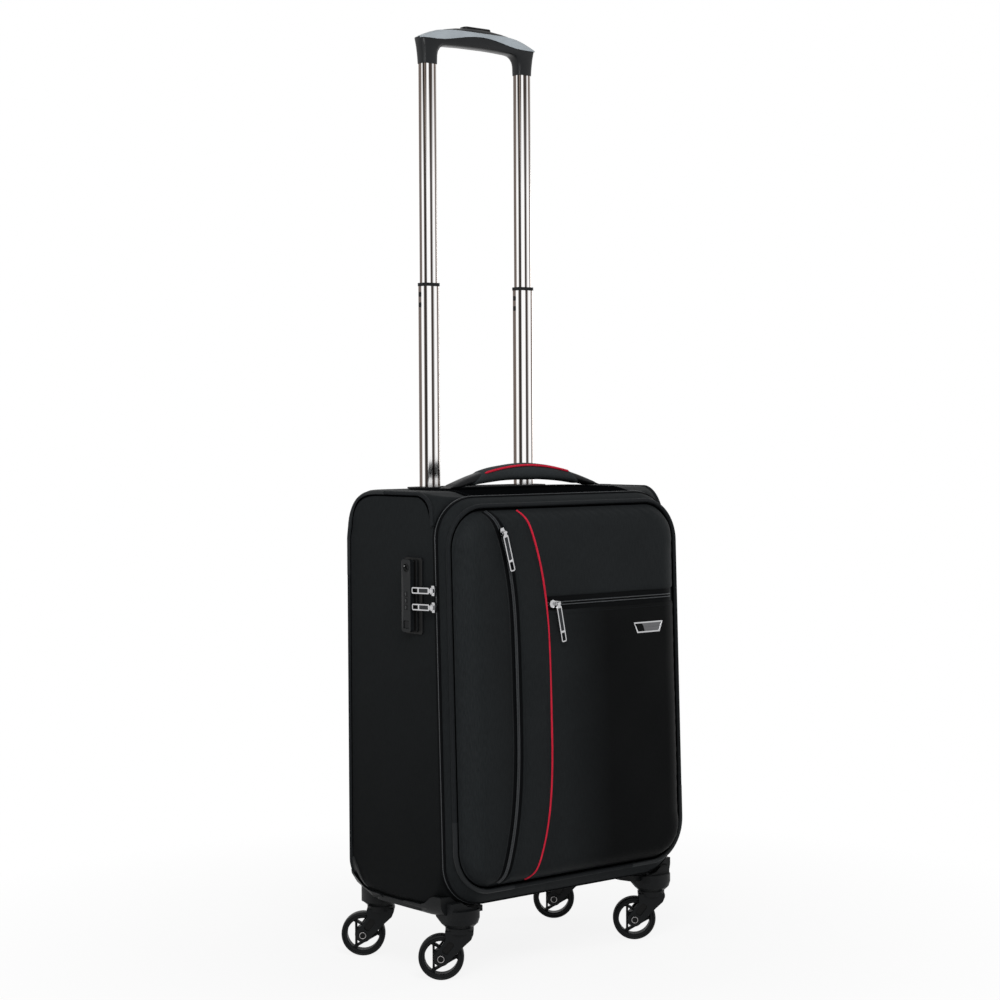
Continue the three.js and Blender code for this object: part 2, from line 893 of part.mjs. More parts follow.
const sideZip = {
  crown: sideZipInset - lidHalfWidth,
  middle: sideZipMiddle,
  top: lidFrontTop - lineEndMargin,
  bottom: lidFrontBottom + lineEndMargin,
  fallTop: sideZipFall,
  fallBottom: sideZipFall,
  powerTop: sideZipPower,
  powerBottom: sideZipPower,
};
const redLine = {
  crown: redInset - lidHalfWidth,
  middle: redMiddle,
  top: lidFrontTop - lineEndMargin,
  bottom: lidFrontBottom + lineEndMargin,
  fallTop: redFallTop,
  fallBottom: redFallBottom,
  powerTop: redPowerTop,
  powerBottom: redPowerBottom,
};
const frontZipLeft = bowedX(frontZipHeight, redLine) + redRadius + 4 * gap;
const frontZipRight = lidHalfWidth - frontZipMargin;
const frontSliderX = frontZipLeft + sliderLong / 2 + sliderHeadRadius;
const badgeCentreX = lidHalfWidth - badgeInset;
const bowSteps = 14;

function bowPoints(line, shift) {
  const points = [];
  for (let step = 0; step <= bowSteps; step += 1) {
    const z = THREE.MathUtils.lerp(line.bottom, line.top, step / bowSteps);
    points.push([bowedX(z, line) + shift, z]);
  }
  return points;
}

function throughFront(shape) {
  return alongY(shape, lidFrontPlane - 2 * bulgeBottom, lidFrontPlane + bulgeBottom);
}

function bowBand(line, halfWidth) {
  return throughFront(polygon([...bowPoints(line, halfWidth), ...bowPoints(line, -halfWidth).reverse()]));
}

// The room within an even margin of the lid's front outline.
function frontBorder(margin) {
  const outline = outlineRing(lidFrontOutline(margin), 0).map((point) => new THREE.Vector2(point.x, point.z));
  return throughFront(new THREE.Shape(outline));
}

function sidePocketPanel() {
  const edge = bowPoints(sideZip, -tapeWidth / 2 - gap);
  const region = polygon([[-caseWidth, sideZip.bottom], ...edge, [-caseWidth, sideZip.top]]);
  return common(frontSheet(gap, gap + pocketThickness), throughFront(region), frontBorder(sidePocketEdge));
}

function frontZipBand(halfWidth, left, right) {
  const low = frontZipHeight - halfWidth;
  const high = frontZipHeight + halfWidth;
  return throughFront(polygon([[left, low], [right, low], [right, high], [left, high]]));
}

function mainPocketPanel() {
  const edge = bowPoints(redLine, redRadius + 2 * gap);
  const region = polygon([...edge, [caseWidth, redLine.top], [caseWidth, redLine.bottom]]);
  const panel = common(
    frontSheet(gap, gap + pocketThickness),
    throughFront(region),
    frontBorder(sidePocketEdge),
  );
  return cut(panel, frontZipBand(tapeWidth / 2 + gap, -lidHalfWidth, frontZipRight + gap));
}

function redPiping() {
  const points = bowPoints(redLine, 0).map(([x, z]) => vector(x, frontAt(z, redRadius), z));
  return cut(common(cord(points, redRadius), frontBorder(zipEndMargin)), frontForm(gap));
}

function sideZipTape() {
  const border = frontBorder(zipEndMargin);
  const tape = common(frontSheet(gap, gap + tapeThickness), bowBand(sideZip, tapeWidth / 2), border);
  const teeth = common(frontSheet(gap, gap + teethHeight), bowBand(sideZip, teethWidth / 2), border);
  return join(tape, teeth);
}

function frontZipTape() {
  const tapeBand = frontZipBand(tapeWidth / 2, frontZipLeft, frontZipRight);
  const teethBand = frontZipBand(teethWidth / 2, frontZipLeft, frontZipRight);
  return join(
    common(frontSheet(gap, gap + tapeThickness), tapeBand),
    common(frontSheet(gap, gap + teethHeight), teethBand),
  );
}

function badgePlate() {
  const lift = gap + pocketThickness + gap;
  const plate = (inset) => throughFront(polygon([
    [badgeCentreX - badgeBottomWidth / 2 + inset, badgeHeight - badgeTall / 2 + inset],
    [badgeCentreX + badgeBottomWidth / 2 - inset, badgeHeight - badgeTall / 2 + inset],
    [badgeCentreX + badgeTopWidth / 2 - inset, badgeHeight + badgeTall / 2 - inset],
    [badgeCentreX - badgeTopWidth / 2 + inset, badgeHeight + badgeTall / 2 - inset],
  ]));
  const raised = common(frontSheet(lift, lift + badgeThickness), plate(0));
  return cut(raised, common(frontSheet(lift + badgeThickness / 2, lift + 2 * badgeThickness), plate(badgeRim)));
}

// Zip sliders and pulls, drawn flat: Z stands off the cloth, Y runs along the zip and the pull
// hangs from the pin towards -Y.

function zipSlider(bodyTurn = 0, headRadius = 0) {
  const half = sliderLong / 2;
  const body = standing(polygon([
    [-sliderWide / 3, -half],
    [sliderWide / 3, -half],
    [sliderWide / 2, half / 3],
    [sliderWide / 3, half],
    [-sliderWide / 3, half],
    [-sliderWide / 2, half / 3],
  ]), 0, sliderThick).rotateZ(bodyTurn);
  const earSpread = pullNeck / 2 + gap;
  const height = sliderThick + pinLift;
  const ear = (x) => alongX(polygon([
    [-eyeRadius, sliderThick / 2],
    [eyeRadius, sliderThick / 2],
    [pinRadius, height + pinRadius],
    [-pinRadius, height + pinRadius],
  ]), x, x + earThick);
  const pin = cylinder(pinRadius, 2 * earSpread + earThick, pipingSides)
    .rotateZ(Math.PI / 2)
    .translate(0, 0, height);
  const pieces = [body, ear(earSpread), ear(-earSpread - earThick), pin];
  if (headRadius > 0) {
    pieces.push(cylinder(headRadius, sliderThick, roundSteps / 2)
      .rotateX(Math.PI / 2)
      .translate(0, half, sliderThick / 2)
      .rotateZ(bodyTurn));
  }
  return join(...pieces);
}

function zipPull(length) {
  const eye = cylinder(eyeRadius, pullNeck, roundSteps / 2).rotateZ(Math.PI / 2);
  const hole = cylinder(pinRadius + gap, pullNeck + overrun, roundSteps / 2).rotateZ(Math.PI / 2);
  const low = -pullThick / 2;
  const bar = standing(polygon([
    [-pullNeck / 2, 0],
    [-pullNeck / 2, -eyeRadius],
    [-pullWide / 2, -2 * eyeRadius],
    [-pullWide / 2, pullWindowWall - length],
    [-pullWide / 2 + pullWindowWall, -length],
    [pullWide / 2 - pullWindowWall, -length],
    [pullWide / 2, pullWindowWall - length],
    [pullWide / 2, -2 * eyeRadius],
    [pullNeck / 2, -eyeRadius],
    [pullNeck / 2, 0],
  ]), low, low + pullThick);
  const windowShape = roundedRectShape(pullWide - 2 * pullWindowWall, pullWindowLength, pullWindowWall / 2);
  const loop = standing(windowShape, low - overrun, low + pullThick + overrun)
    .translate(0, pullWindowWall + pullWindowLength / 2 - length, 0);
  const fieldLength = length - 2 * pullWindowWall - pullWindowLength - 3 * eyeRadius;
  const field = standing(
    roundedRectShape(pullWide - 2 * pullWindowWall, fieldLength, pullWindowWall / 2),
    low + pullThick - pullFieldDepth,
    low + pullThick + overrun,
  ).translate(0, -2.5 * eyeRadius - fieldLength / 2, 0);
  return cut(join(bar, eye), hole, loop, field);
}

// Lock

function lockWindow() {
  const shape = roundedRectShape(
    lockFaceBack - lockFaceFront - 2 * lockCorner,
    lockTop - lockBottom - 2 * lockCorner,
    lockCorner,
  );
  return alongX(shape, -caseWidth / 2 - overrun, -caseWidth / 2 + shellWall + overrun)
    .translate(0, (lockFaceBack + lockFaceFront) / 2, (lockTop + lockBottom) / 2);
}

function lockBlock(front, back, margin, from, to) {
  const shape = roundedRectShape(back - front, lockTop - lockBottom + 2 * margin, lockCorner);
  return alongX(shape, from, to).translate(0, (front + back) / 2, (lockTop + lockBottom) / 2);
}

const lockSide = -caseWidth / 2 - gap;
const dialAxisX = lockSide - lockProud - dialProud + dialRadius;
const dialAxisY = (lockFaceFront + lockFaceBack) / 2;

function lockHousing() {
  const flange = lockBlock(lockFlangeFront, lockFaceBack + lockFlangeMargin, lockFlangeMargin,
    lockSide - lockFlangeProud, lockSide);
  const step = lockBlock(lockStepFront, lockFaceBack - lockCorner, 0, lockSide - lockStepProud, lockSide);
  const face = lockBlock(lockFaceFront, lockFaceBack, 0, lockSide - lockProud, lockSide);
  const tongue = lockBlock(
    lockFaceFront + lockCorner + gap,
    lockFaceBack - lockCorner - gap,
    -lockCorner - gap,
    lockSide - lockFlangeProud,
    lockSide + lockTongue,
  );
  const cuts = [];
  for (let dial = -1; dial <= 1; dial += 1) {
    cuts.push(cylinder(dialRadius + dialClear, dialThick + 2 * gap)
      .rotateX(Math.PI / 2)
      .translate(dialAxisX, dialAxisY, dialHeight + dial * dialPitch));
  }
  const faceX = lockSide - lockProud;
  cuts.push(cylinder(keyRadius, 2 * keyDepth).rotateZ(Math.PI / 2).translate(faceX, dialAxisY, keyHeight));
  cuts.push(new THREE.BoxGeometry(6 * keyDepth, keySlot, keyRadius).translate(faceX, dialAxisY, keyHeight));
  cuts.push(new THREE.BoxGeometry(
    2 * (lockProud + lockTongue + overrun),
    lockButtonWide + 2 * gap,
    lockButtonTall + 2 * gap,
  ).translate(lockSide, dialAxisY, buttonHeight));
  const body = cut(join(flange, step, face, tongue), ...cuts);
  const shaftLength = 3 * dialPitch + dialThick;
  const shaft = cylinder(dialShaft, shaftLength, pipingSides * 2)
    .rotateX(Math.PI / 2)
    .translate(dialAxisX, dialAxisY, dialHeight);
  return join(body, shaft);
}

function lockDial(place) {
  const ring = cylinder(dialRadius, dialThick);
  const bore = cylinder(dialShaft + gap, dialThick + overrun, pipingSides * 2);
  return cut(ring, bore)
    .rotateX(Math.PI / 2)
    .translate(dialAxisX, dialAxisY, dialHeight + place * dialPitch);
}

function lockButton() {
  const shape = roundedRectShape(lockButtonWide, lockButtonTall, lockCorner / 2);
  const outer = lockSide - lockProud + lockButtonTravel / 2;
  return alongX(shape, outer, lockSide + lockTongue - lockButtonTravel)
    .translate(0, dialAxisY, buttonHeight);
}

// Trolley handle

function tubeSection({ wide, deep, radius }, by) {
  return roundedRectShape(wide + 2 * by, deep + 2 * by, radius + by);
}

function tube(size, bottom, top) {
  const section = tubeSection(size, 0);
  section.holes.push(tubeSection(size, -size.wall));
  return standing(section, bottom, top);
}

function handleBezel() {
  const wallWidth = 2 * (cupHalfWidth + cupWall);
  const wallDepth = 2 * (cupHalfDepth + cupWall);
  const radius = cupRadius + cupWall;
  const cup = standing(roundedRectShape(wallWidth, wallDepth, radius), cupFloor - cupFloorThick, caseTop + gap);
  const rim = standing(
    roundedRectShape(wallWidth + 2 * rimOverlap, wallDepth + 2 * rimOverlap, radius + rimOverlap),
    caseTop + gap,
    caseTop + gap + rimThick,
  );
  const hollow = standing(
    roundedRectShape(2 * cupHalfWidth, 2 * cupHalfDepth, cupRadius),
    cupFloor,
    caseTop + overrun,
  );
  const holes = [-1, 1].map((side) => standing(
    tubeSection(middleTube, tubeRun),
    cupFloor - cupFloorThick - overrun,
    cupFloor + overrun,
  ).translate(side * tubeSpacing / 2, 0, 0));
  return moved(cut(join(cup, rim), hollow, ...holes), 0, tubeBack, 0);
}

function tubeFootBracket() {
  const low = caseBottom + shellWall + gap;
  const block = standing(
    roundedRectShape(
      tubeSpacing + outerTube.wide + 2 * footMargin,
      outerTube.deep + footMargin,
      footMargin / 2,
    ),
    low,
    low + footHeight,
  );
  const sockets = [-1, 1].map((side) => standing(
    tubeSection(outerTube, gap),
    low + footFloor,
    low + footHeight + overrun,
  ).translate(side * tubeSpacing / 2, 0, 0));
  return moved(cut(block, ...sockets), 0, tubeBack, 0);
}

function middleCollar() {
  const section = tubeSection(middleTube, collarProud);
  section.holes.push(tubeSection(upperTube, tubeRun));
  return standing(section, middleTop + gap, middleTop + gap + collarTall);
}

function gripTopAt(x) {
  return gripTop - gripArch * (Math.abs(x) / gripHalfWidth) ** gripArchPower;
}

function gripUndersideAt(x) {
  return gripTop - gripTall - gripUndersideArch * (x / gripHalfWidth) ** 2;
}

// The leg's outer side widens from the tube to the grip's tip.
function gripOuterAt(z) {
  const tip = gripTopAt(gripHalfWidth);
  return THREE.MathUtils.lerp(legOuter, gripHalfWidth, ((z - legBottom) / (tip - legBottom)) ** 2);
}

// Pairs of an inner and an outer point from the right leg's foot, round the knee, to the bar's middle.
function gripStations() {
  const tip = gripTopAt(gripHalfWidth);
  const shoulder = gripHalfWidth - gripShoulder;
  const kneeEnd = legInner - gripFillet;
  const kneeHigh = gripUndersideAt(kneeEnd);
  const kneeLow = kneeHigh - gripFillet;
  const pairs = [];
  for (let step = 0; step < legSteps; step += 1) {
    const z = THREE.MathUtils.lerp(legBottom, kneeLow, step / legSteps);
    pairs.push([vector(legInner, 0, z), vector(gripOuterAt(z), 0, z)]);
  }
  for (let step = 0; step <= kneeSteps; step += 1) {
    const angle = step / kneeSteps * Math.PI / 2;
    const inner = vector(kneeEnd + gripFillet * Math.cos(angle), 0, kneeLow + gripFillet * Math.sin(angle));
    const share = 2 * step / kneeSteps;
    const z = THREE.MathUtils.lerp(kneeLow, tip, share);
    const x = THREE.MathUtils.lerp(gripHalfWidth, shoulder, share - 1);
    pairs.push([inner, share < 1 ? vector(gripOuterAt(z), 0, z) : vector(x, 0, gripTopAt(x))]);
  }
  for (let step = 1; step <= barSteps; step += 1) {
    const share = 1 - step / barSteps;
    const [low, high] = [kneeEnd * share, shoulder * share];
    pairs.push([vector(low, 0, gripUndersideAt(low)), vector(high, 0, gripTopAt(high))]);
  }
  return pairs;
}

// A cross-section of the grip: a rounded rectangle from its inner to its outer point.
function gripRing([inner, outer], share, by) {
  const middle = inner.clone().lerp(outer, 1 / 2);
  const along = outer.clone().sub(inner).normalize();
  const halfTall = inner.distanceTo(outer) / 2 + by;
  const halfDeep = THREE.MathUtils.lerp(legHalfDepth, gripHalfDepth, share) + by;
  const round = THREE.MathUtils.lerp(legRoundShare, gripRoundShare, share);
  const radius = round * Math.min(halfTall, halfDeep);
  return levelRing(-halfTall, halfTall, -halfDeep, halfDeep, radius, 0, 3)
    .map((point) => middle.clone().addScaledVector(along, point.x).add(vector(0, point.y, 0)));
}

// The legs and the arched bar in one piece, grown by a margin.
function gripForm(by) {
  const pairs = gripStations();
  const right = pairs.map((pair, at) => gripRing(pair, at / (pairs.length - 1), by));
  const left = right.slice(0, -1).reverse()
    .map((ring) => ring.map((point) => vector(-point.x, point.y, point.z)));
  return loft([...right, ...left]);
}

function gripBody() {
  const yokeRoom = new THREE.BoxGeometry(
    tubeSpacing + 2 * (rodRadius + rodRun),
    yokeDeep + 2 * gap,
    yokeTall + buttonTravel + 2 * gap,
  ).translate(0, 0, yokeTop + gap - (yokeTall + buttonTravel + 2 * gap) / 2);
  const cuts = [yokeRoom];
  [-1, 1].forEach((side) => {
    const x = side * tubeSpacing / 2;
    cuts.push(standing(tubeSection(upperTube, gap), legBottom - overrun, legBottom + socketDepth)
      .translate(x, 0, 0));
    cuts.push(cylinder(rodRadius + rodRun, yokeTop - legBottom, roundSteps / 2)
      .rotateX(Math.PI / 2)
      .translate(x, 0, (yokeTop + legBottom) / 2));
  });
  cuts.push(standing(
    roundedRectShape(2 * (buttonHalfWidth + gap), 2 * (buttonHalfDepth + gap), buttonRadius + gap),
    yokeTop - buttonTravel,
    gripTop + overrun,
  ));
  return moved(cut(gripForm(0), ...cuts), 0, tubeBack, 0);
}

// A thin strip on the grip's upper front from tip to tip, narrowed in the middle by the ridge above it.
function gripInlay() {
  const lower = [];
  const upper = [];
  for (let step = 0; step <= inlaySteps; step += 1) {
    const x = THREE.MathUtils.lerp(-gripHalfWidth, gripHalfWidth, step / inlaySteps);
    const lens = 1 - clampUnit((x / inlayLens) ** 2);
    lower.push([x, gripTop - inlayDrop + inlayRise * lens ** 2]);
    upper.push([x, gripTopAt(x) - inlayRidge * lens ** 1.5 + inlayThick * (lens === 0 ? 2 : 0)]);
  }
  const region = alongY(polygon([...lower, ...upper.reverse()]), -2 * gripHalfDepth, -gap);
  return moved(cut(common(gripForm(gap + inlayThick), region), gripForm(gap)), 0, tubeBack, 0);
}

function releaseButton() {
  const shape = roundedRectShape(2 * buttonHalfWidth, 2 * buttonHalfDepth, buttonRadius);
  return standing(shape, yokeTop + gap, gripTop + buttonProud, buttonEdge).translate(0, tubeBack, 0);
}

function releaseYoke() {
  const bar = new THREE.BoxGeometry(tubeSpacing, yokeDeep, yokeTall)
    .translate(0, 0, yokeTop - yokeTall / 2);
  const rods = [-1, 1].map((side) => cylinder(rodRadius, yokeTop - rodBottom, roundSteps / 2)
    .rotateX(Math.PI / 2)
    .translate(side * tubeSpacing / 2, 0, (yokeTop + rodBottom) / 2));
  return moved(join(bar, ...rods), 0, tubeBack, 0);
}

// Carry handle

function handleTopAt(x) {
  const foot = caseTop + gap + handleFootThick;
  return foot + (handleTop - foot) * (1 - (x / handleHalfWidth) ** 2);
}

function handleUndersideAt(x) {
  const seat = caseTop + gap;
  const share = clampUnit(Math.abs(x) / handleGapHalf);
  return seat + (handleGapTop - seat) * (1 - share ** 2);
}

function carryHandle() {
  const rings = [];
  for (let step = 0; step <= handleStations; step += 1) {
    const x = THREE.MathUtils.lerp(-handleHalfWidth, handleHalfWidth, step / handleStations);
    const top = handleTopAt(x);
    const bottom = handleUndersideAt(x);
    const ring = [];
    for (let side = 0; side < handleSides; side += 1) {
      const angle = (side + 0.5) / handleSides * 2 * Math.PI;
      const across = Math.sign(Math.cos(angle)) * Math.abs(Math.cos(angle)) ** handleSquareness;
      const up = Math.sign(Math.sin(angle)) * Math.abs(Math.sin(angle)) ** handleSquareness;
      ring.push(vector(x, handleY + handleHalfDepth * across, (top + bottom) / 2 + (top - bottom) / 2 * up));
    }
    rings.push(ring);
  }
  return loft(rings);
}

function carryHandleTrim() {
  const points = [];
  for (let step = 0; step <= handleStations; step += 1) {
    const x = THREE.MathUtils.lerp(-handleTrimHalf, handleTrimHalf, step / handleStations);
    points.push(vector(x, handleY, handleTopAt(x) + handleTrimRadius + gap));
  }
  return cord(points, handleTrimRadius);
}

// Casters, drawn round their swivel axis with the wheel trailing towards +X

function casterFork() {
  const cap = standing(roundedRectShape(2 * forkCapRadius, 2 * forkCapRadius, forkCapRadius),
    forkTop - forkCapTall, forkTop, 0, cornerSteps);
  const boss = new THREE.Shape().absarc(trail, wheelRadius, forkBossRadius, 0, 2 * Math.PI);
  const underCap = ([across, down]) => [forkCapRadius * across, forkTop - forkCapTall * down];
  const [kneeAcross, kneeUp] = forkKneeShares;
  const [heelAcross, heelUp] = forkHeelShares;
  const arm = polygon([
    ...forkFrontShares.map(underCap),
    [forkCapRadius * kneeAcross, wheelRadius + forkBossRadius * kneeUp],
    [trail - forkBossRadius * heelAcross, wheelRadius - forkBossRadius * heelUp],
    [trail + forkBossRadius * heelAcross, wheelRadius + forkBossRadius * heelUp],
    ...forkBackShares.map(underCap),
  ]);
  const sides = join(
    alongY(arm, -forkWidth / 2, forkWidth / 2),
    alongY(boss, -forkWidth / 2, forkWidth / 2, 0, cornerSteps + 1),
  );
  const stem = standing(roundedRectShape(2 * stemRadius, 2 * stemRadius, stemRadius),
    forkTop - forkCapTall, forkTop + stemTall);
  const wheelRoom = cylinder(wheelRadius + wheelRun, wheelWidth + 2 * wheelSideRun)
    .translate(trail, 0, wheelRadius);
  const bore = cylinder(axleRadius + axleRun, forkWidth + overrun, roundSteps / 2)
    .translate(trail, 0, wheelRadius);
  const lean = Math.atan2(trail, forkTop - forkCapTall - wheelRadius);
  const slots = [-1, 1].map((side) => alongY(
    roundedRectShape(forkSlotWide, forkSlotLong, forkSlotWide / 3),
    -forkSlotDepth,
    forkSlotDepth,
  ).rotateY(-lean).translate(
    trail - forkSlotCentre * Math.sin(lean) - forkSlotWide / 5,
    side * forkWidth / 2,
    wheelRadius + (forkSlotCentre + forkBossRadius / 2) * Math.cos(lean),
  ));
  return cut(join(cap, sides, stem), wheelRoom, bore, ...slots);
}

function wheelRing() {
  const inner = wheelRadius - rimThickness;
  const half = wheelWidth / 2;
  const profile = [
    [inner, -half],
    [wheelRadius - tyreShoulder, -half],
    [wheelRadius, tyreShoulder - half],
    [wheelRadius, half - tyreShoulder],
    [wheelRadius - tyreShoulder, half],
    [inner, half],
    [inner, -half],
  ].map(([radius, height]) => new THREE.Vector2(radius, height));
  return new THREE.LatheGeometry(profile, roundSteps);
}

// The web is made of straight crossing bars, one chord of the rim each.
function casterWheel() {
  const reach = wheelRadius - rimThickness / 2;
  const chordLength = 2 * Math.sqrt(reach ** 2 - chordOffset ** 2);
  const bars = [];
  for (let bar = 0; bar < chordCount; bar += 1) {
    bars.push(new THREE.BoxGeometry(chordLength, chordWidth, chordThick)
      .translate(0, 0, chordOffset)
      .rotateY(bar / chordCount * 2 * Math.PI + Math.PI / 2));
  }
  const hub = cylinder(hubRadius, wheelWidth, roundSteps);
  const bore = cylinder(axleRadius + axleRun, wheelWidth + overrun, roundSteps / 2);
  return cut(join(wheelRing(), hub, ...bars), bore).translate(trail, 0, wheelRadius);
}

function wheelAxle() {
  const half = forkWidth / 2 + gap;
  const profile = [
    [0, -half - axleHeadThick / 2],
    [axleSocket, -half - axleHeadThick / 2],
    [axleSocket, -half - axleHeadThick],
    [axleHeadRadius, -half - axleHeadThick],
    [axleHeadRadius, -half],
    [axleRadius, -half],
    [axleRadius, half],
    [axleHeadRadius, half],
    [axleHeadRadius, half + axleHeadThick],
    [axleSocket, half + axleHeadThick],
    [axleSocket, half + axleHeadThick / 2],
    [0, half + axleHeadThick / 2],
  ].map(([radius, height]) => new THREE.Vector2(radius, height));
  return new THREE.LatheGeometry(profile, roundSteps / 2).translate(trail, 0, wheelRadius);
}

// Assembly

const suitcase = new THREE.Group();

function add(parent, name, geometry, material) {
  const mesh = new THREE.Mesh(geometry, material);
  mesh.name = name;
  mesh.geometry.computeVertexNormals();
  parent.add(mesh);
  return mesh;
}

function addCase() {
  add(suitcase, 'case_shell', caseShell(), fabric());
  add(suitcase, 'case_lining', caseLining(), liningCloth());
  const piping = sidePiping();
  add(suitcase, 'side_piping_right', piping, pipingPlastic());
  add(suitcase, 'side_piping_left', mirroredX(piping), pipingPlastic());
  add(suitcase, 'main_zip_chain', mainZipChain(), zipTape());
  add(suitcase, 'lid_hinge_tape', lidHingeTape(), fabric());
  add(suitcase, 'carry_handle', carryHandle(), fabric());
  add(suitcase, 'carry_handle_trim', carryHandleTrim(), redFabric());
}

function addGuards() {
  const front = cornerGuard(false);
  const back = cornerGuard(true);
  add(suitcase, 'corner_guard_front_right', front, blackPlastic());
  add(suitcase, 'corner_guard_front_left', mirroredX(front), blackPlastic());
  add(suitcase, 'corner_guard_back_left', back, blackPlastic());
  add(suitcase, 'corner_guard_back_right', mirroredX(back), blackPlastic());
}

function addLock() {
  add(suitcase, 'lock_housing', lockHousing(), blackPlastic());
  [1, 0, -1].forEach((place, order) => {
    add(suitcase, `lock_dial_${order + 1}`, lockDial(place), blackPlastic());
  });
  add(suitcase, 'lock_button', lockButton(), blackPlastic());
}

// The main zip's sliders stand on the left side with their pulls pointing back to the lock.
function addMainSliders() {
  const out = caseWidth / 2 + gap + zipProud + sliderLift;
  const places = { upper: mainSliderUpper, lower: mainSliderLower };
  const along = vector(0, -frontLeanShare, -1).normalize();
  const outwards = vector(-1, 0, 0);
  const turn = new THREE.Matrix4().makeBasis(along, outwards.clone().cross(along), outwards);
  Object.entries(places).forEach(([which, height]) => {
    const holder = new THREE.Group();
    holder.setRotationFromMatrix(turn);
    holder.position.set(-out, (zipFront + zipBack) / 2 + leanAt(height), height);
    suitcase.add(holder);
    add(holder, `main_slider_${which}`, zipSlider(Math.PI / 2), pullMetal());
    const pull = add(holder, `main_pull_${which}`, zipPull(mainPullLength), pullMetal());
    pull.position.z = sliderThick + pinLift;
  });
}

function addLid() {
  add(suitcase, 'lid_shell', leaning(lidShell()), fabric());
  add(suitcase, 'lid_piping', leaning(lidPiping()), pipingPlastic());
  add(suitcase, 'side_pocket_panel', leaning(sidePocketPanel()), fabric());
  add(suitcase, 'main_pocket_panel', leaning(mainPocketPanel()), fabric());
  add(suitcase, 'red_piping', leaning(redPiping()), redFabric());
  add(suitcase, 'side_zip_tape', leaning(sideZipTape()), zipTape());
  add(suitcase, 'front_zip_tape', leaning(frontZipTape()), zipTape());
  add(suitcase, 'badge_plate', leaning(badgePlate()), pullMetal());
}

// A pocket's slider lies on the leaning pocket front. Its pull is turned a little from hanging straight
// down, and its body runs along its zip.
function addPocketSlider(which, x, z, pullTurn, zipTurn, headRadius) {
  const slope = frontLeanShare + (bulgeBottom - bulgeTop) / (lidFrontTop - lidFrontBottom);
  const holder = new THREE.Group();
  holder.position.set(x, frontAt(z, gap + teethHeight + sliderLift) + leanAt(z), z);
  holder.rotation.set(Math.PI / 2 - Math.atan(slope), 0, radians(pullTurn));
  suitcase.add(holder);
  add(holder, `${which}_pocket_slider`, zipSlider(radians(zipTurn - pullTurn), headRadius), pullMetal());
  const pull = add(holder, `${which}_pocket_pull`, zipPull(frontPullLength), pullMetal());
  pull.position.z = sliderThick + pinLift;
}

function addTrolley() {
  add(suitcase, 'handle_bezel', handleBezel(), blackPlastic());
  add(suitcase, 'tube_foot_bracket', tubeFootBracket(), blackPlastic());
  [['left', -1], ['right', 1]].forEach(([which, side]) => {
    const column = new THREE.Group();
    column.position.set(side * tubeSpacing / 2, tubeBack, 0);
    suitcase.add(column);
    const footing = caseBottom + shellWall + gap + footFloor + gap;
    add(column, `outer_tube_${which}`, tube(outerTube, footing, cupFloor - cupFloorThick - gap), steel());
    add(column, `middle_tube_${which}`, tube(middleTube, middleBottom, middleTop), tubeMetal());
    add(column, `middle_collar_${which}`, middleCollar(), blackPlastic());
    add(column, `upper_tube_${which}`, tube(upperTube, upperBottom, legBottom + socketDepth - gap), tubeMetal());
  });
  add(suitcase, 'grip_body', gripBody(), blackPlastic());
  add(suitcase, 'grip_inlay', gripInlay(), greyPlastic());
  add(suitcase, 'release_button', releaseButton(), blackPlastic());
  add(suitcase, 'release_yoke', releaseYoke(), steel());
}

function addCasters() {
  const fork = casterFork();
  const wheel = casterWheel();
  const axle = wheelAxle();
  [['front', -1], ['back', 1]].forEach(([depth, ySide]) => {
    [['left', -1], ['right', 1]].forEach(([side, xSide]) => {
      const caster = new THREE.Group();
      caster.position.set(xSide * swivelX, ySide * swivelY, 0);
      caster.rotation.z = radians(trailAngle);
      suitcase.add(caster);
      add(caster, `caster_fork_${depth}_${side}`, fork.clone(), blackPlastic());
      add(caster, `caster_wheel_${depth}_${side}`, wheel.clone(), blackPlastic());
      add(caster, `caster_axle_${depth}_${side}`, axle.clone(), steel());
    });
  });
}

addCase();
addGuards();
addLock();
addMainSliders();
addLid();
addPocketSlider('side', bowedX(sideSliderHeight, sideZip), sideSliderHeight, sidePullTurn, sidePullTurn, 0);
addPocketSlider('front', frontSliderX, frontZipHeight, frontPullTurn, 90, sliderHeadRadius);
addTrolley();
addCasters();

// The box of the finished case stands centred on the origin.
const box = new THREE.Box3().setFromObject(suitcase);
const centre = box.getCenter(vector(0, 0, 0));
suitcase.position.set(-centre.x, -centre.y, -box.min.z);
suitcase.updateMatrixWorld(true);

export default suitcase;
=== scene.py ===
"""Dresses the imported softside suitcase: cloth, padding, piping, zips, lock, metal and the studio round it."""

import json
import math

import bmesh
import bpy
import numpy as np
from mathutils import Matrix, Vector


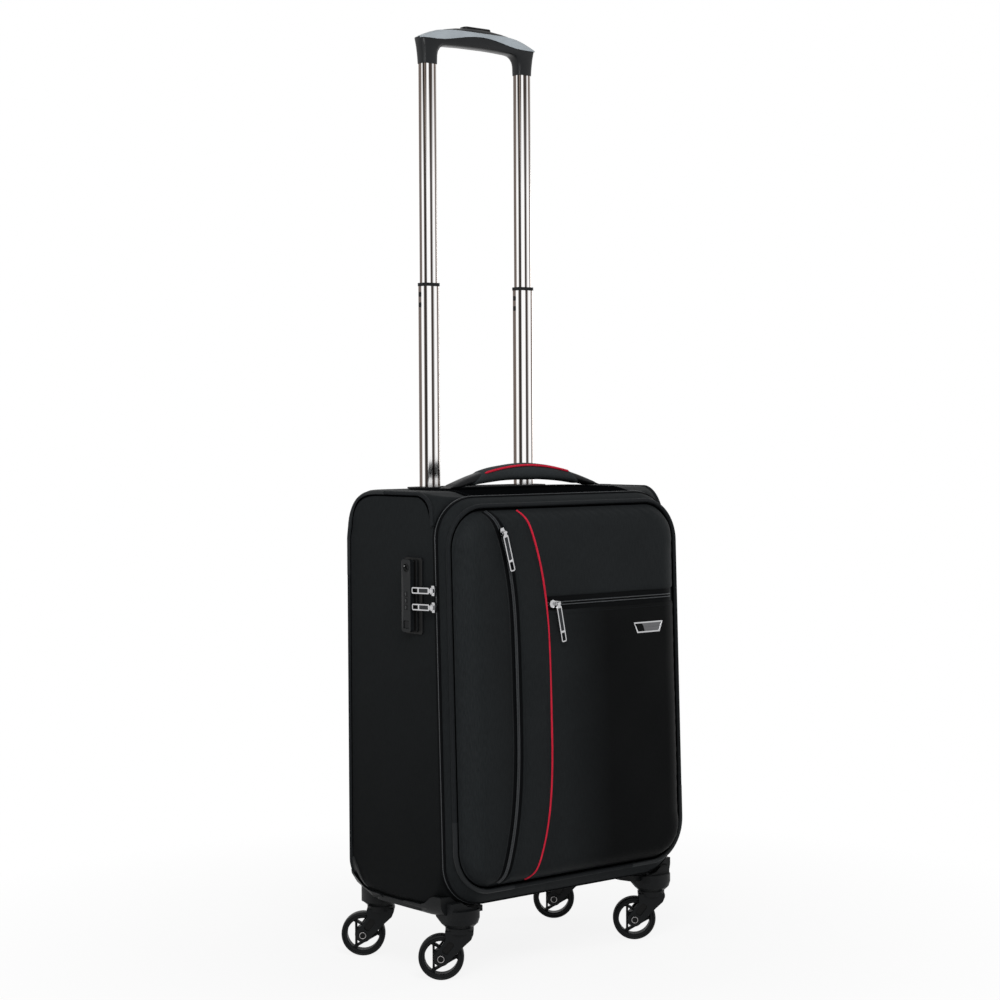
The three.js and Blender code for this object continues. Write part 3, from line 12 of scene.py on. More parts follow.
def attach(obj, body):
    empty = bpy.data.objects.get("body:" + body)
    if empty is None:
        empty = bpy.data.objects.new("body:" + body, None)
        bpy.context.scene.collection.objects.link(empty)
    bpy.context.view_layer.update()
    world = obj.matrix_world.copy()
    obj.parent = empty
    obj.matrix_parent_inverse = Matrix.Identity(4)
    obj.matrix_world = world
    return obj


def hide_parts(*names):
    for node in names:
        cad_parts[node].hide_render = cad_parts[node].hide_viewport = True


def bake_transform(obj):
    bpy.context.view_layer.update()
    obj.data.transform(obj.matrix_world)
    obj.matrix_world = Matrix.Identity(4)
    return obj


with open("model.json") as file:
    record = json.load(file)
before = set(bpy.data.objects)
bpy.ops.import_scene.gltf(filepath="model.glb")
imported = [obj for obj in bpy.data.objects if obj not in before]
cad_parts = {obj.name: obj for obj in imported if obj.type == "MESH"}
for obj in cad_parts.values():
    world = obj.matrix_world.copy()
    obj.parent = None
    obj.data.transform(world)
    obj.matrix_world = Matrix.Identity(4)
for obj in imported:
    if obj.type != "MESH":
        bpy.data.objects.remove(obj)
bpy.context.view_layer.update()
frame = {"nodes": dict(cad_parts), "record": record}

bl_info = {
    "name": "Softside suitcase",
    "version": (1, 0, 0),
    "blender": (4, 5, 0),
    "location": "3D View > Sidebar > Suitcase",
    "description": "Builds the cloth, padding, zips and finishes of an upright softside suitcase",
    "category": "Object",
}

MM = 0.001
# The part's drawing point in the frame
SHIFT = np.array([4.7465, 4.4217, 0.0])
# Depth of the grain on plastic and of the scratches on metal, in metres
GRAIN = 0.00004
# Where most values of a noise field lie
CLOUD_SPAN = (0.3, 0.7)


# Finishes

class Nodes:
    """A node tree under construction, with short ways to add the nodes that finishes share."""

    def __init__(self, tree):
        self.tree = tree

    def link(self, source, target):
        """Joins two sockets."""
        self.tree.links.new(source, target)

    def node(self, kind, **values):
        """Adds a node. Values name either a property of the node or one of its inputs."""
        made = self.tree.nodes.new(kind)
        for key, value in values.items():
            if hasattr(made, key):
                setattr(made, key, value)
            else:
                made.inputs[key.replace("_", " ")].default_value = value
        return made

    def place(self, kind="Object", scale=(1, 1, 1), turn=(0, 0, 0)):
        """Coordinates of the surface in metres, stretched and turned."""
        mapping = self.node("ShaderNodeMapping", Scale=scale, Rotation=turn)
        self.link(self.node("ShaderNodeTexCoord").outputs[kind], mapping.inputs["Vector"])
        return mapping.outputs["Vector"]

    def axes(self, vector):
        """The three parts of a vector, each by itself."""
        made = self.node("ShaderNodeSeparateXYZ")
        self.link(vector, made.inputs[0])
        return made.outputs

    def noise(self, place, scale, detail=2.0, rough=0.5):
        """A cloudy field between about 0.3 and 0.7."""
        made = self.node("ShaderNodeTexNoise", Scale=scale, Detail=detail, Roughness=rough)
        self.link(place, made.inputs["Vector"])
        return made.outputs["Fac"]

    def math(self, operation, *values):
        """One arithmetic step on numbers or sockets."""
        made = self.node("ShaderNodeMath", operation=operation)
        for at, value in enumerate(values):
            if isinstance(value, (int, float)):
                made.inputs[at].default_value = value
            else:
                self.link(value, made.inputs[at])
        return made.outputs[0]

    def span(self, value, low, high, to_low=0.0, to_high=1.0):
        """A field read between two levels, carried to two new levels and held there."""
        made = self.node("ShaderNodeMapRange", From_Min=low, From_Max=high, To_Min=to_low, To_Max=to_high)
        self.link(value, made.inputs["Value"])
        return made.outputs["Result"]

    def blend(self, share, low, high):
        """A colour between two, each given as a colour or as a socket."""
        made = self.node("ShaderNodeMix", data_type="RGBA")
        self.link(share, made.inputs[0])
        for socket, colour in zip(made.inputs[6:8], (low, high)):
            if isinstance(colour, tuple):
                socket.default_value = (*colour, 1)
            else:
                self.link(colour, socket)
        return made.outputs[2]

    def ramp(self, share, stops):
        """A colour read from a row of colour stops."""
        made = self.node("ShaderNodeValToRGB")
        self.link(share, made.inputs[0])
        elements = made.color_ramp.elements
        while len(elements) < len(stops):
            elements.new(1.0)
        for element, (place, colour) in zip(elements, stops):
            element.position = place
            element.color = (*colour, 1)
        return made.outputs[0]

    def seen(self):
        """One for rays from the camera, from reflections and through clear pieces, else nothing."""
        rays = self.node("ShaderNodeLightPath").outputs
        seen = self.math("MAXIMUM", rays["Is Camera Ray"], rays["Is Glossy Ray"])
        return self.math("MAXIMUM", seen, rays["Is Transmission Ray"])


class Shader(Nodes):
    """A Principled material under construction."""

    def __init__(self, name, colour, roughness, metallic=0.0, **values):
        self.material = bpy.data.materials.new(f"{name}_finish")
        self.material.use_nodes = True
        super().__init__(self.material.node_tree)
        self.surface = self.tree.nodes["Principled BSDF"]
        self.surface.inputs["Base Color"].default_value = (*colour, 1)
        self.surface.inputs["Roughness"].default_value = roughness
        self.surface.inputs["Metallic"].default_value = metallic
        for socket, value in values.items():
            self.surface.inputs[socket.replace("_", " ")].default_value = value

    def varied(self, clouds, colour, dark, light):
        """Varies the base colour with a cloudy field, from a darker to a lighter shade of it."""
        base = self.blend(self.span(clouds, *CLOUD_SPAN), shade(colour, dark), shade(colour, light))
        self.link(base, self.surface.inputs["Base Color"])

    def roughened(self, field, low, high):
        """Varies the roughness between two values with a cloudy field."""
        self.link(self.span(field, *CLOUD_SPAN, low, high), self.surface.inputs["Roughness"])

    def raised(self, height, depth, strength):
        """Gives the surface a bump from a height field, in metres of depth. Returns the finished material."""
        bump = self.node("ShaderNodeBump", Strength=strength, Distance=depth)
        self.link(height, bump.inputs["Height"])
        self.link(bump.outputs["Normal"], self.surface.inputs["Normal"])
        return self.material


def shade(colour, by):
    """A colour made lighter or darker by a factor."""
    return tuple(min(1.0, part * by) for part in colour)


def cloth(name, colour, pitch, kind="UV", sheen=0.01, gloss=0.03, painted_shade=None):
    """Twill: fine ribs that run up to the right, uneven along their length, over soft large clouds.

    A painted shade is an axis, two places along it in metres and the share of the colour that is left at the
    second: the colour darkens along the axis as painted shade.
    """
    finish = Shader(name, colour, 0.62, Sheen_Weight=sheen, Sheen_Roughness=0.45, Specular_IOR_Level=gloss)
    place = finish.place(kind)
    slant = (0, 0, math.radians(45))
    wander = finish.noise(place, 0.25 / pitch, 1.0)
    phase = finish.math("MULTIPLY", finish.axes(finish.place(kind, turn=slant))[0], 2 * math.pi / pitch)
    bent = finish.math("ADD", phase, finish.math("MULTIPLY", wander, 5.0))
    wave = finish.span(finish.math("SINE", bent), -1, 1)
    streak = finish.noise(finish.place(kind, scale=(1, 0.12, 1), turn=slant), 0.9 / pitch)
    clouds = finish.noise(place, 14.0, 3.0)
    tone = finish.math("ADD", finish.math("MULTIPLY", wave, 0.35), finish.math("MULTIPLY", streak, 0.9))
    tone = finish.math("ADD", tone, finish.math("MULTIPLY", clouds, 0.35))
    woven = finish.blend(finish.span(tone, 0.45, 1.05), shade(colour, 0.72), shade(colour, 1.3))
    # Painted shade: the colour is scaled down along an axis to paint in how the light falls off over the cloth.
    if painted_shade:
        axis, first, second, share = painted_shade
        left = finish.span(finish.axes(finish.place())[axis], first, second, 1.0, share)
        shaded_colour = finish.node("ShaderNodeVectorMath", operation="SCALE")
        finish.link(woven, shaded_colour.inputs[0])
        finish.link(left, shaded_colour.inputs["Scale"])
        woven = shaded_colour.outputs[0]
    finish.link(woven, finish.surface.inputs["Base Color"])
    return finish.raised(tone, 0.25 * pitch, 0.5)


def moulded(name, colour, roughness, gloss=0.13):
    """Moulded plastic: a fine pebble grain, slightly uneven gloss and dust-soft clouds."""
    finish = Shader(name, colour, roughness, Specular_IOR_Level=gloss)
    place = finish.place()
    clouds = finish.noise(place, 28.0, 3.0)
    finish.roughened(clouds, roughness * 0.85, min(1.0, roughness * 1.2))
    finish.varied(clouds, colour, 0.9, 1.12)
    return finish.raised(finish.noise(place, 1400.0), GRAIN, 0.6)


def brushed(name, colour, roughness, along):
    """Drawn or brushed metal: long thin scratches along one axis over an uneven gloss."""
    finish = Shader(name, colour, roughness, 1.0, Anisotropic=0.4)
    stretch = [1.0, 1.0, 1.0]
    stretch[along] = 0.012
    lines = finish.noise(finish.place(scale=tuple(stretch)), 900.0, 3.0, 0.6)
    finish.varied(finish.noise(finish.place(), 35.0), colour, 0.93, 1.05)
    finish.roughened(lines, roughness * 0.7, roughness * 1.35)
    return finish.raised(lines, GRAIN, 0.5)


def streaked(name, centre, half_wide, half_deep, reflection_swell_height):
    """Polished tube with painted reflections in its base colour: dark and bright streaks along it, laid out
    across its front and across its side.

    Above a height the dark streaks swell, as they do where the grip is mirrored in the tube.
    """
    finish = Shader(name, (0.9, 0.88, 0.86), 0.16, 1.0)
    place = finish.axes(finish.place())
    facing = finish.axes(finish.node("ShaderNodeTexCoord").outputs["Normal"])
    middle = ((np.array([centre, TUBE_BACK, reflection_swell_height]) + SHIFT) * MM).tolist()
    across, deep = (
        finish.span(finish.math("SUBTRACT", place[axis], middle[axis]), -half * MM, half * MM)
        for axis, half in enumerate((half_wide, half_deep)))
    # Colours of the painted reflections: dark, brown and grey streaks, and white and pale highlights.
    dark, brown, grey = (0.055, 0.043, 0.038), (0.15, 0.12, 0.105), (0.42, 0.385, 0.37)
    edge = (0.026, 0.021, 0.018)
    white, pale = (0.98, 0.97, 0.965), (0.80, 0.78, 0.77)

    def front(swell):
        """The painted reflections across the tube's front and back."""
        return finish.ramp(across, (
            (0.0, edge), (0.09 + swell, edge), (0.14 + swell, white), (0.36 - swell, white),
            (0.40 - swell, dark), (0.51 + swell, dark), (0.61 + swell, white), (0.73 - swell, white),
            (0.78 - swell, brown), (0.85, brown), (0.90, pale), (1.0, grey)))

    def side(swell):
        """The painted reflections across the tube's sides."""
        return finish.ramp(deep, (
            (0.0, edge), (0.15 + swell, edge), (0.23 + swell, white), (0.45 - swell, white),
            (0.51 - swell, brown), (0.9, brown), (1.0, dark)))

    grip_reflection_share = finish.span(place[2], middle[2], middle[2] + 0.12)
    sideways = finish.math("GREATER_THAN", finish.math("ABSOLUTE", facing[0]), 0.7)
    base = finish.blend(sideways, finish.blend(grip_reflection_share, front(0.0), front(0.05)),
                        finish.blend(grip_reflection_share, side(0.0), side(0.07)))
    finish.link(base, finish.surface.inputs["Base Color"])
    lines = finish.noise(finish.place(scale=(1, 1, 0.01)), 900.0, 3.0, 0.6)
    finish.roughened(lines, 0.12, 0.2)
    return finish.raised(lines, 0.25 * GRAIN, 0.2)


# Sizes of the part's drawing, in millimetres. X runs to the right, Y to the back and Z up

CASE_HALF = 170.0
CASE_LOW = 78.0
CASE_HIGH = 530.0
CASE_BACK = 92.0
CASE_WALL = 3.0
CASE_MIDDLE = (CASE_LOW + CASE_HIGH) / 2
CASE_TALL_HALF = (CASE_HIGH - CASE_LOW) / 2
EDGE = 8.0
CORNER_FRONT = 50.0
CORNER_BACK = 48.0
FRONT_CURVE = (-37.0, 33.0)
BACK_CURVE = (36.0, 52.0)
CORNER_FOOT = 34.0
# How far the front end is drawn in at its top and foot, and over what height
TOP_IN = 6.0
FOOT_IN = 4.5
DRAWN_OVER = 54.0
BACK_EDGE = 4.0
ZIP_PLANE = -77.0
LEAN = 0.03
LEAN_HEIGHT = 287.0
LID_PLANE = -91.0
LID_HALF = 166.0
LID_LOW = 99.0
LID_HIGH = 514.0
LID_CORNER = 46.0
LID_MIDDLE = (LID_LOW + LID_HIGH) / 2
LID_TALL_HALF = (LID_HIGH - LID_LOW) / 2
# How far the padded front stands out at the lid's top and foot
BULGE = (14.0, 16.5)
FRONT_MIDDLE = 307.0
VALLEY = 5.0
REACH = 33.0
# The zip and the red piping across the lid: their ends, and the X and height of each crown
LINE_LOW = 103.0
LINE_HIGH = 512.0
ZIP_CROWN = (-88.0, 326.0)
RED_CROWN = (-41.0, 317.0)
ZIP_HEIGHT = 405.4
TAPE_HALF = 6.3
TUBE_SIDE = 70.5
TUBE_BACK = 70.0
# Half width, front and back of the handle's recess
CUP = (91.6, 54.2, 85.8)
# Foot, top, front and back of the opening for the lock
LOCK_WINDOW = (376.5, 458.5, -45.5, -17.5)
# Where both openings begin and end along the top and the left side
HOLE_STOPS = ((CUP[0], -CUP[0]), (LOCK_WINDOW[1], LOCK_WINDOW[0]))
# Middle, radius and pitch of the number dials
DIAL_MIDDLE = (-173.3, -26.0, 412.0)
DIAL_RADIUS = 5.5
DIAL_PITCH = 7.2
KEY_MIDDLE = (-178.3, -26.0, 448.0)
# A caster's swivel axis, and its wheel's middle seen from there
SWIVEL = (143.2, 72.1)
WHEEL_MIDDLE = (20.0, 0.0, 25.0)
# The way that the front looks, and the two sides with their signs along X
FRONT = (0.0, -1.0, 0.0)
SIDES = (("left", -1), ("right", 1))


# Meshes from grids of points

def grid_faces(rows, columns, wrap=False):
    """Quads between neighbouring rows and columns of a grid. Wrapped, the last column meets the first."""
    row, column = np.meshgrid(np.arange(rows - 1), np.arange(columns if wrap else columns - 1), indexing="ij")
    after = (column + 1) % columns
    quads = [row * columns + column, row * columns + after,
             (row + 1) * columns + after, (row + 1) * columns + column]
    return np.stack(quads, axis=-1).reshape(-1, 4)


def fan_faces(ring, centre):
    """Triangles from a ring of point numbers to one centre."""
    return np.stack([ring, np.roll(ring, -1), np.full_like(ring, centre)], axis=-1)


def capped(rings, ends):
    """Points and faces of a row of rings of points, closed by fans to two end points."""
    rows, sides = rings.shape[:2]
    count = rows * sides
    first = np.arange(sides)
    return np.concatenate([rings.reshape(-1, 3), ends]), [
        grid_faces(rows, sides, True), fan_faces(first, count)[:, ::-1],
        fan_faces(first + count - sides, count + 1)]


def xyz(x, y, z):
    """Points from their X, Y and Z, each an array or a number that all of them share."""
    return np.stack(np.broadcast_arrays(x, y, z), axis=-1)


def margin(value, low, high):
    """Distance to the nearer one of two limits."""
    return np.minimum(value - low, high - value)


def turns(count, start=0.0):
    """Angles that share a full turn evenly."""
    return (np.arange(count) + start) / count * 2 * np.pi


def powered(value, power):
    """A number whose size is raised to a power and whose sign stays."""
    return np.sign(value) * np.abs(value) ** power


def finish_named(name):
    """A finish that the first step made."""
    return bpy.data.materials[f"{name}_finish"]


def box_coordinates(points, faces):
    """Flat coordinates of every face corner, in metres, on the two axes least along the face's normal."""
    corners = points[faces]
    normals = np.cross(corners[:, 2] - corners[:, 0], corners[:, -1] - corners[:, 1])
    main = np.abs(normals).argmax(axis=1)
    pairs = np.array([(1, 2), (0, 2), (0, 1)])[main]
    return np.take_along_axis(corners, pairs[:, None, :], axis=2).reshape(-1, 2)


def piece(name, points, faces, finish, body, slot, replaces=None, soft=False, sharp=40.0):
    """An object from points in millimetres and groups of faces, turned to face outwards, riding on a body.

    finish names its finish, and replaces the node that it stands for. soft is not used.
    """
    points = (np.asarray(points).reshape(-1, 3) + SHIFT) * MM
    groups = [np.asarray(group) for group in faces if len(group)]
    volume = sum(
        np.einsum("ij,ij->", points[group[:, 0]], np.cross(points[group[:, at]], points[group[:, at + 1]]))
        for group in groups for at in range(1, group.shape[1] - 1))
    if volume < 0:
        groups = [group[:, ::-1] for group in groups]
    mesh = bpy.data.meshes.new(name)
    mesh.from_pydata(points.tolist(), [], [face for group in groups for face in group.tolist()])
    flat = np.concatenate([box_coordinates(points, group) for group in groups])
    mesh.uv_layers.new(name="cut").data.foreach_set("uv", flat.ravel())
    mesh.shade_smooth()
    mesh.set_sharp_from_angle(angle=math.radians(sharp))
    mesh.materials.append(finish_named(finish))
    made = bpy.data.objects.new(name, mesh)
    bpy.context.scene.collection.objects.link(made)
    if body:
        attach(made, body)
    if replaces:
        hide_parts(replaces)
    return made


def eased(node, finish, width=0.4, fold=30.0, inlay=None, segments=2):
    """A copy of a rigid node with its triangles joined, its flat faces made whole and its edges rounded.

    An inlay is a list of directions and a second finish. Of the two largest levels that look one of these
    ways the higher keeps the first finish, and all that lies below it gets the second.
    """
    mesh = frame["nodes"][node].data.copy()
    work = bmesh.new()
    work.from_mesh(mesh)
    bmesh.ops.remove_doubles(work, verts=work.verts, dist=0.000002)
    bmesh.ops.dissolve_limit(work, angle_limit=math.radians(1.0), verts=work.verts, edges=work.edges)
    work.to_mesh(mesh)
    work.free()
    mesh.materials.clear()
    mesh.materials.append(finish_named(finish))
    if inlay:
        directions, second = inlay
        mesh.materials.append(finish_named(second))
        for outward in directions:
            facing = [face for face in mesh.polygons if face.normal.dot(outward) > 0.9]
            normal = sum((face.normal * face.area for face in facing), Vector()).normalized()
            areas = {}
            for face in facing:
                level = round(face.center.dot(normal) / (0.1 * MM))
                areas[level] = areas.get(level, 0.0) + face.area
            top = max(sorted(areas, key=areas.get)[-2:])
            for face in facing:
                if face.center.dot(normal) / (0.1 * MM) < top - 2.5:
                    face.material_index = 1
    mesh.shade_smooth()
    mesh.set_sharp_from_angle(angle=math.radians(fold))
    made = bpy.data.objects.new(f"{node}_eased", mesh)
    bpy.context.scene.collection.objects.link(made)
    if width:
        round_over = made.modifiers.new("rounded", "BEVEL")
        round_over.width = width * MM
        round_over.segments = segments
        round_over.limit_method = "ANGLE"
        round_over.angle_limit = math.radians(fold)
        round_over.harden_normals = True
    body = next(name for name, nodes in frame["record"]["behaviour"]["bodies"].items() if node in nodes)
    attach(made, body)
    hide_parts(node)


def pebble(centre, half, squareness=0.5, rows=10, columns=16):
    """Points and faces of a rounded block: a sphere whose cosines and sines are raised to a power."""
    rise = np.linspace(-np.pi / 2, np.pi / 2, rows)[1:-1, None]
    turn = turns(columns)[None]
    wide, deep, reach, up = (
        powered(value, squareness) for value in (np.cos(turn), np.sin(turn), np.cos(rise), np.sin(rise)))
    points, faces = capped(xyz(reach * wide, reach * deep, up), [(0, 0, -1), (0, 0, 1)])
    return points * half + centre, faces


def lathe(profile, steps=64):
    """Points and faces of a closed profile of radius and Y, turned about the Y axis."""
    radius, depth = np.asarray(profile, float).T
    angle = turns(steps)[:, None]
    points = xyz(radius * np.cos(angle), depth, radius * np.sin(angle))
    row, column = np.meshgrid(np.arange(steps), np.arange(len(profile)), indexing="ij")
    count = len(profile)
    after, down = (row + 1) % steps, (column + 1) % count
    quads = np.stack([row * count + column, after * count + column,
                      after * count + down, row * count + down], axis=-1)
    return points.reshape(-1, 3), [quads.reshape(-1, 4)]


def round_ring(radius, thick, depth):
    """A lathe profile for a ring of round section at a depth."""
    angle = turns(12)
    return np.stack([radius + thick * np.cos(angle), depth + thick * np.sin(angle)], axis=-1)


def closed_sheet(outer, inner, wrap=False, pole=False, keep=None):
    """Points and faces of a thick sheet: an outer and an inner grid, joined along every open edge.

    A pole closes the last row of both grids with a fan. Faces left out by keep make a hole.
    """
    rows, columns = outer.shape[:2]
    count = rows * columns
    quads = grid_faces(rows, columns, wrap)
    if keep is not None:
        quads = quads[keep(outer.reshape(-1, 3)[quads].mean(axis=1))]
    points = [outer.reshape(-1, 3), inner.reshape(-1, 3)]
    faces = [quads, quads[:, ::-1] + count]
    starts = quads.ravel()
    ends = np.roll(quads, -1, axis=1).ravel()
    if pole:
        last = np.arange(count - columns, count)
        points += [outer[-1].mean(axis=0, keepdims=True), inner[-1].mean(axis=0, keepdims=True)]
        front = fan_faces(last, 2 * count)[:, ::-1]
        faces += [front, fan_faces(last + count, 2 * count + 1)]
        starts = np.concatenate([starts, front.ravel()])
        ends = np.concatenate([ends, np.roll(front, -1, axis=1).ravel()])
    size = 2 * count + 2
    open_edges = ~np.isin(starts * size + ends, ends * size + starts)
    a, b = starts[open_edges], ends[open_edges]
    faces.append(np.stack([b, a, a + count, b + count], axis=-1))
    return np.concatenate(points), faces


def lengths(path):
    """Distance along a path to each of its points."""
    steps = np.linalg.norm(np.diff(path, axis=0), axis=1)
    return np.concatenate([[0], np.cumsum(steps)])


def read_along(values, along, targets):
    """Rows of values that belong to distances along a path, read at other distances."""
    return np.stack([np.interp(targets, along, column) for column in values.T], axis=-1)


def resampled(path, spacing):
    """The same path with points an even distance apart."""
    along = lengths(path)
    count = max(2, int(round(along[-1] / spacing)) + 1)
    targets = np.linspace(0, along[-1], count)
    return read_along(path, along, targets)


def frames(path, outward, loop=False):
    """Unit directions along a path, across it and away from what it lies on."""
    if loop:
        along = np.roll(path, -1, axis=0) - np.roll(path, 1, axis=0)
    else:
        along = np.gradient(path, axis=0)
    along /= np.linalg.norm(along, axis=1, keepdims=True)
    across = np.cross(along, outward)
    across /= np.linalg.norm(across, axis=1, keepdims=True)
    return along, across, np.cross(across, along)


def cord(path, radius, outward, sides=12, loop=False):
    """Points and faces of a cord: circles round a path, closed at both ends or joined to a loop."""
    along, across, up = frames(path, outward, loop)
    angle = turns(sides)[None, :, None]
    radius = np.broadcast_to(np.asarray(radius, float), len(path))[:, None, None]
    rings = path[:, None] + radius * (across[:, None] * np.cos(angle) + up[:, None] * np.sin(angle))
    if loop:
        return rings.reshape(-1, 3), [grid_faces(len(path) + 1, sides, True) % (len(path) * sides)]
    return capped(rings, path[[0, -1]])


def tapered(path, radius, run=3.0):
    """A radius that rounds off to nothing over a short run at both ends of a path."""
    along = lengths(path)
    near = np.minimum(along, along[-1] - along) / run
    return radius * np.sqrt(np.clip(1 - (1 - np.clip(near, 0, 1)) ** 2, 0.004, 1))


def toothed(path, radius, pitch, share):
    """A cord's radius that swells and shrinks by a share of itself once a tooth."""
    return radius * (1 - share + share * np.sin(2 * np.pi * lengths(path) / pitch))


def coil(path, outward, radius=0.95, spread=1.05):
    """Points and faces of a zip's coil: two toothed cords side by side."""
    pitch = 1.5
    path = resampled(path, pitch / 5)
    across = frames(path, outward)[1]
    swell = toothed(path, radius, pitch, 0.18)
    return joined([cord(path + across * side * spread, swell, outward, 6) for side in (-1, 1)])


def joined(parts):
    """One set of points and faces from several."""
    points, faces, start = [], [], 0
    for part_points, part_faces in parts:
        points.append(part_points)
        faces += [group + start for group in part_faces]
        start += len(part_points)
    return np.concatenate(points), faces


def stitches(path, outward):
    """Points and faces of a row of stitches: small pointed lozenges laid along a path."""
    pitch, long, wide, lift = 3.2, 2.3, 0.32, 0.12
    path = resampled(path, pitch)
    along, across, up = frames(path, outward)
    centres = path + up * lift
    shape = np.array([(0.5, 0, 0), (0, 1, 0), (-0.5, 0, 0), (0, -1, 0), (0, 0, 1), (0, 0, -1)], float)
    shape = shape * (long, wide, wide)
    points = (centres[:, None] + along[:, None] * shape[None, :, :1] + across[:, None] * shape[None, :, 1:2]
              + up[:, None] * shape[None, :, 2:])
    faces = np.array([(0, 1, 4), (1, 2, 4), (2, 3, 4), (3, 0, 4), (1, 0, 5), (2, 1, 5), (3, 2, 5), (0, 3, 5)])
    faces = (faces[None] + 6 * np.arange(len(path))[:, None, None]).reshape(-1, 3)
    return points.reshape(-1, 3), [faces]


# Forms of the case and its lid

def lean_at(z):
    """How far back the leaning front stands at a height."""
    return LEAN * (z - LEAN_HEIGHT)


def drawn_in(z):
    """How far the front end of the case is drawn in: down at its top and up at its foot."""
    foot = np.clip((CASE_LOW + DRAWN_OVER - z) / DRAWN_OVER, 0, 1)
    top = np.clip((z - CASE_HIGH + DRAWN_OVER) / DRAWN_OVER, 0, 1)
    return FOOT_IN * foot - TOP_IN * top


def front_share(y):
    """How far along its opening front end the case has come at a depth."""
    return np.clip((FRONT_CURVE[0] - y) / FRONT_CURVE[1], 0, 1)


def corner_radius(y):
    """The case's corner radius at a depth: tight in the middle, opening as a quarter circle to both ends."""
    front = front_share(y)
    back = np.clip((y - BACK_CURVE[0]) / BACK_CURVE[1], 0, 1)
    return (EDGE + (CORNER_FRONT - EDGE) * (1 - np.sqrt(1 - front ** 2))
            + (CORNER_BACK - EDGE) * (1 - np.sqrt(1 - back ** 2)))


def straight(start, end, stops, count):
    """Points from start to end on each row, by way of the stops, with an even count between them."""
    knots = [start, *(np.full_like(start, stop) for stop in stops), end]
    share = np.arange(count) / count
    return np.concatenate([a + (b - a) * share for a, b in zip(knots, knots[1:])], axis=1)


def ring(half, low, high, radius, top=(), left=(), count=14, corner=9, foot=None):
    """X and Z of a rounded rectangle on each row, counterclockwise from its lower right.

    foot is the radius of the two lower corners where it isn't that of the upper ones.
    """
    half, low, high, radius, foot = np.broadcast_arrays(
        *(np.asarray(value, float).reshape(-1, 1)
          for value in (half, low, high, radius, radius if foot is None else foot)))
    turn = np.arange(corner) / corner * np.pi / 2
    xs, zs = [], []

    def bend(x, z, quarter):
        size = radius if quarter < 2 else foot
        xs.append(x + size * np.cos(turn + quarter * np.pi / 2))
        zs.append(z + size * np.sin(turn + quarter * np.pi / 2))

    def side(x, z):
        xs.append(x + 0 * z)
        zs.append(z + 0 * x)

    side(half, straight(low + foot, high - radius, (), 3 * count))
    bend(half - radius, high - radius, 0)
    side(straight(half - radius, radius - half, top, count), high)
    bend(radius - half, high - radius, 1)
    side(-half, straight(high - radius, low + foot, left, count))
    bend(foot - half, low + foot, 2)
    side(straight(foot - half, half - foot, (), 2 * count), low)
    bend(half - foot, low + foot, 3)
    return np.concatenate(xs, axis=1), np.concatenate(zs, axis=1)


def case_grid(depths, by, stops=((), ())):
    """The case's surface: its outline at each depth, grown by a margin, with the front end leaning.

    stops are places along the top and the left side that get a column of points.
    """
    radius = corner_radius(depths)
    foot = np.where(depths > 0, np.minimum(radius, CORNER_FOOT), radius)
    x, z = ring(CASE_HALF + by, CASE_LOW - by, CASE_HIGH + by, radius + by, *stops, foot=foot + by)
    share = front_share(depths)[:, None]
    return xyz(x, depths[:, None] + share * lean_at(z), z + share * drawn_in(z))


def inset_of(x, z):
    """How far inside the lid's rounded front outline a point lies."""
    across = np.abs(x) - (LID_HALF - LID_CORNER)
    up = np.abs(z - LID_MIDDLE) - (LID_TALL_HALF - LID_CORNER)
    outside = np.hypot(np.maximum(across, 0), np.maximum(up, 0))
    return LID_CORNER - outside - np.minimum(np.maximum(across, up), 0)


def front_y(x, z, lift=0.0):
    """Depth of the padded front: a flat valley along its edge, then a steep rise that rounds off."""
    full = BULGE[0] + (LID_HIGH - z) / (LID_HIGH - LID_LOW) * (BULGE[1] - BULGE[0])
    steep = 2.2 + 1.8 * np.clip((np.abs(z - FRONT_MIDDLE) - 150) / 40, 0, 1)
    rise = 1 - (1 - np.clip((inset_of(x, z) - VALLEY) / (REACH - VALLEY), 0, 1)) ** steep
    return LID_PLANE + lean_at(z) - full * rise - lift


def lid_half_at(z, margin):
    """Half the width of the lid's front outline at a height, less a margin all round."""
    radius = LID_CORNER - margin
    up = np.clip(np.abs(z - LID_MIDDLE) - (LID_TALL_HALF - LID_CORNER), 0, radius)
    return LID_HALF - LID_CORNER + np.sqrt(np.maximum(radius ** 2 - up ** 2, 0))


def bowed(z, crown, above, below):
    """X of a line down the lid: a crown that falls away to both ends with a power of the distance.

    crown is its X and height. above and below are how far the line falls at each end, and the power.
    """
    x, height = crown
    up = np.clip((z - height) / (LINE_HIGH - height), 0, None)
    down = np.clip((height - z) / (height - LINE_LOW), 0, None)
    return x - above[0] * up ** above[1] - below[0] * down ** below[1]


def side_zip_x(z):
    """X of the side pocket's zip."""
    return bowed(z, ZIP_CROWN, (29, 3.45), (29, 3.45))


def red_x(z):
    """X of the red piping."""
    return bowed(z, RED_CROWN, (32.5, 3), (34, 3.8))


def pucker(along, away):
    """Gathers beside a seam: two waves of different length along it that die out with distance."""
    reach, wave = 9.0, 13.0
    waves = np.sin(2 * np.pi * along / wave) + 0.6 * np.sin(2 * np.pi * along / (1.63 * wave) + 1.3)
    return waves * np.exp(-(away / reach) ** 2)


def clouds(a, b, size):
    """Slow unevenness of padded cloth: three crossed waves of different size."""
    return (np.sin(a / size + 0.7) * np.sin(b / (1.7 * size) + 2.1)
            + 0.6 * np.sin((a + 0.8 * b) / (0.8 * size) + 1.9) + 0.4 * np.sin((a - b) / (0.5 * size)))


def rolled(distance, run=3.0):
    """A folded edge: a quarter circle from nothing up to one over a short run."""
    return np.sqrt(1 - (1 - np.clip(distance / run, 0, 1)) ** 2)


def crowded(count):
    """Shares from nothing to one that lie a little closer together near both ends."""
    even = np.linspace(0, 1, count)
    return 0.75 * even + 0.25 * (1 - np.cos(np.pi * even)) / 2


def front_path(x, z, lift=0.0):
    """Points on the padded front, or lifted off it."""
    return xyz(x, front_y(x, z, lift), z)


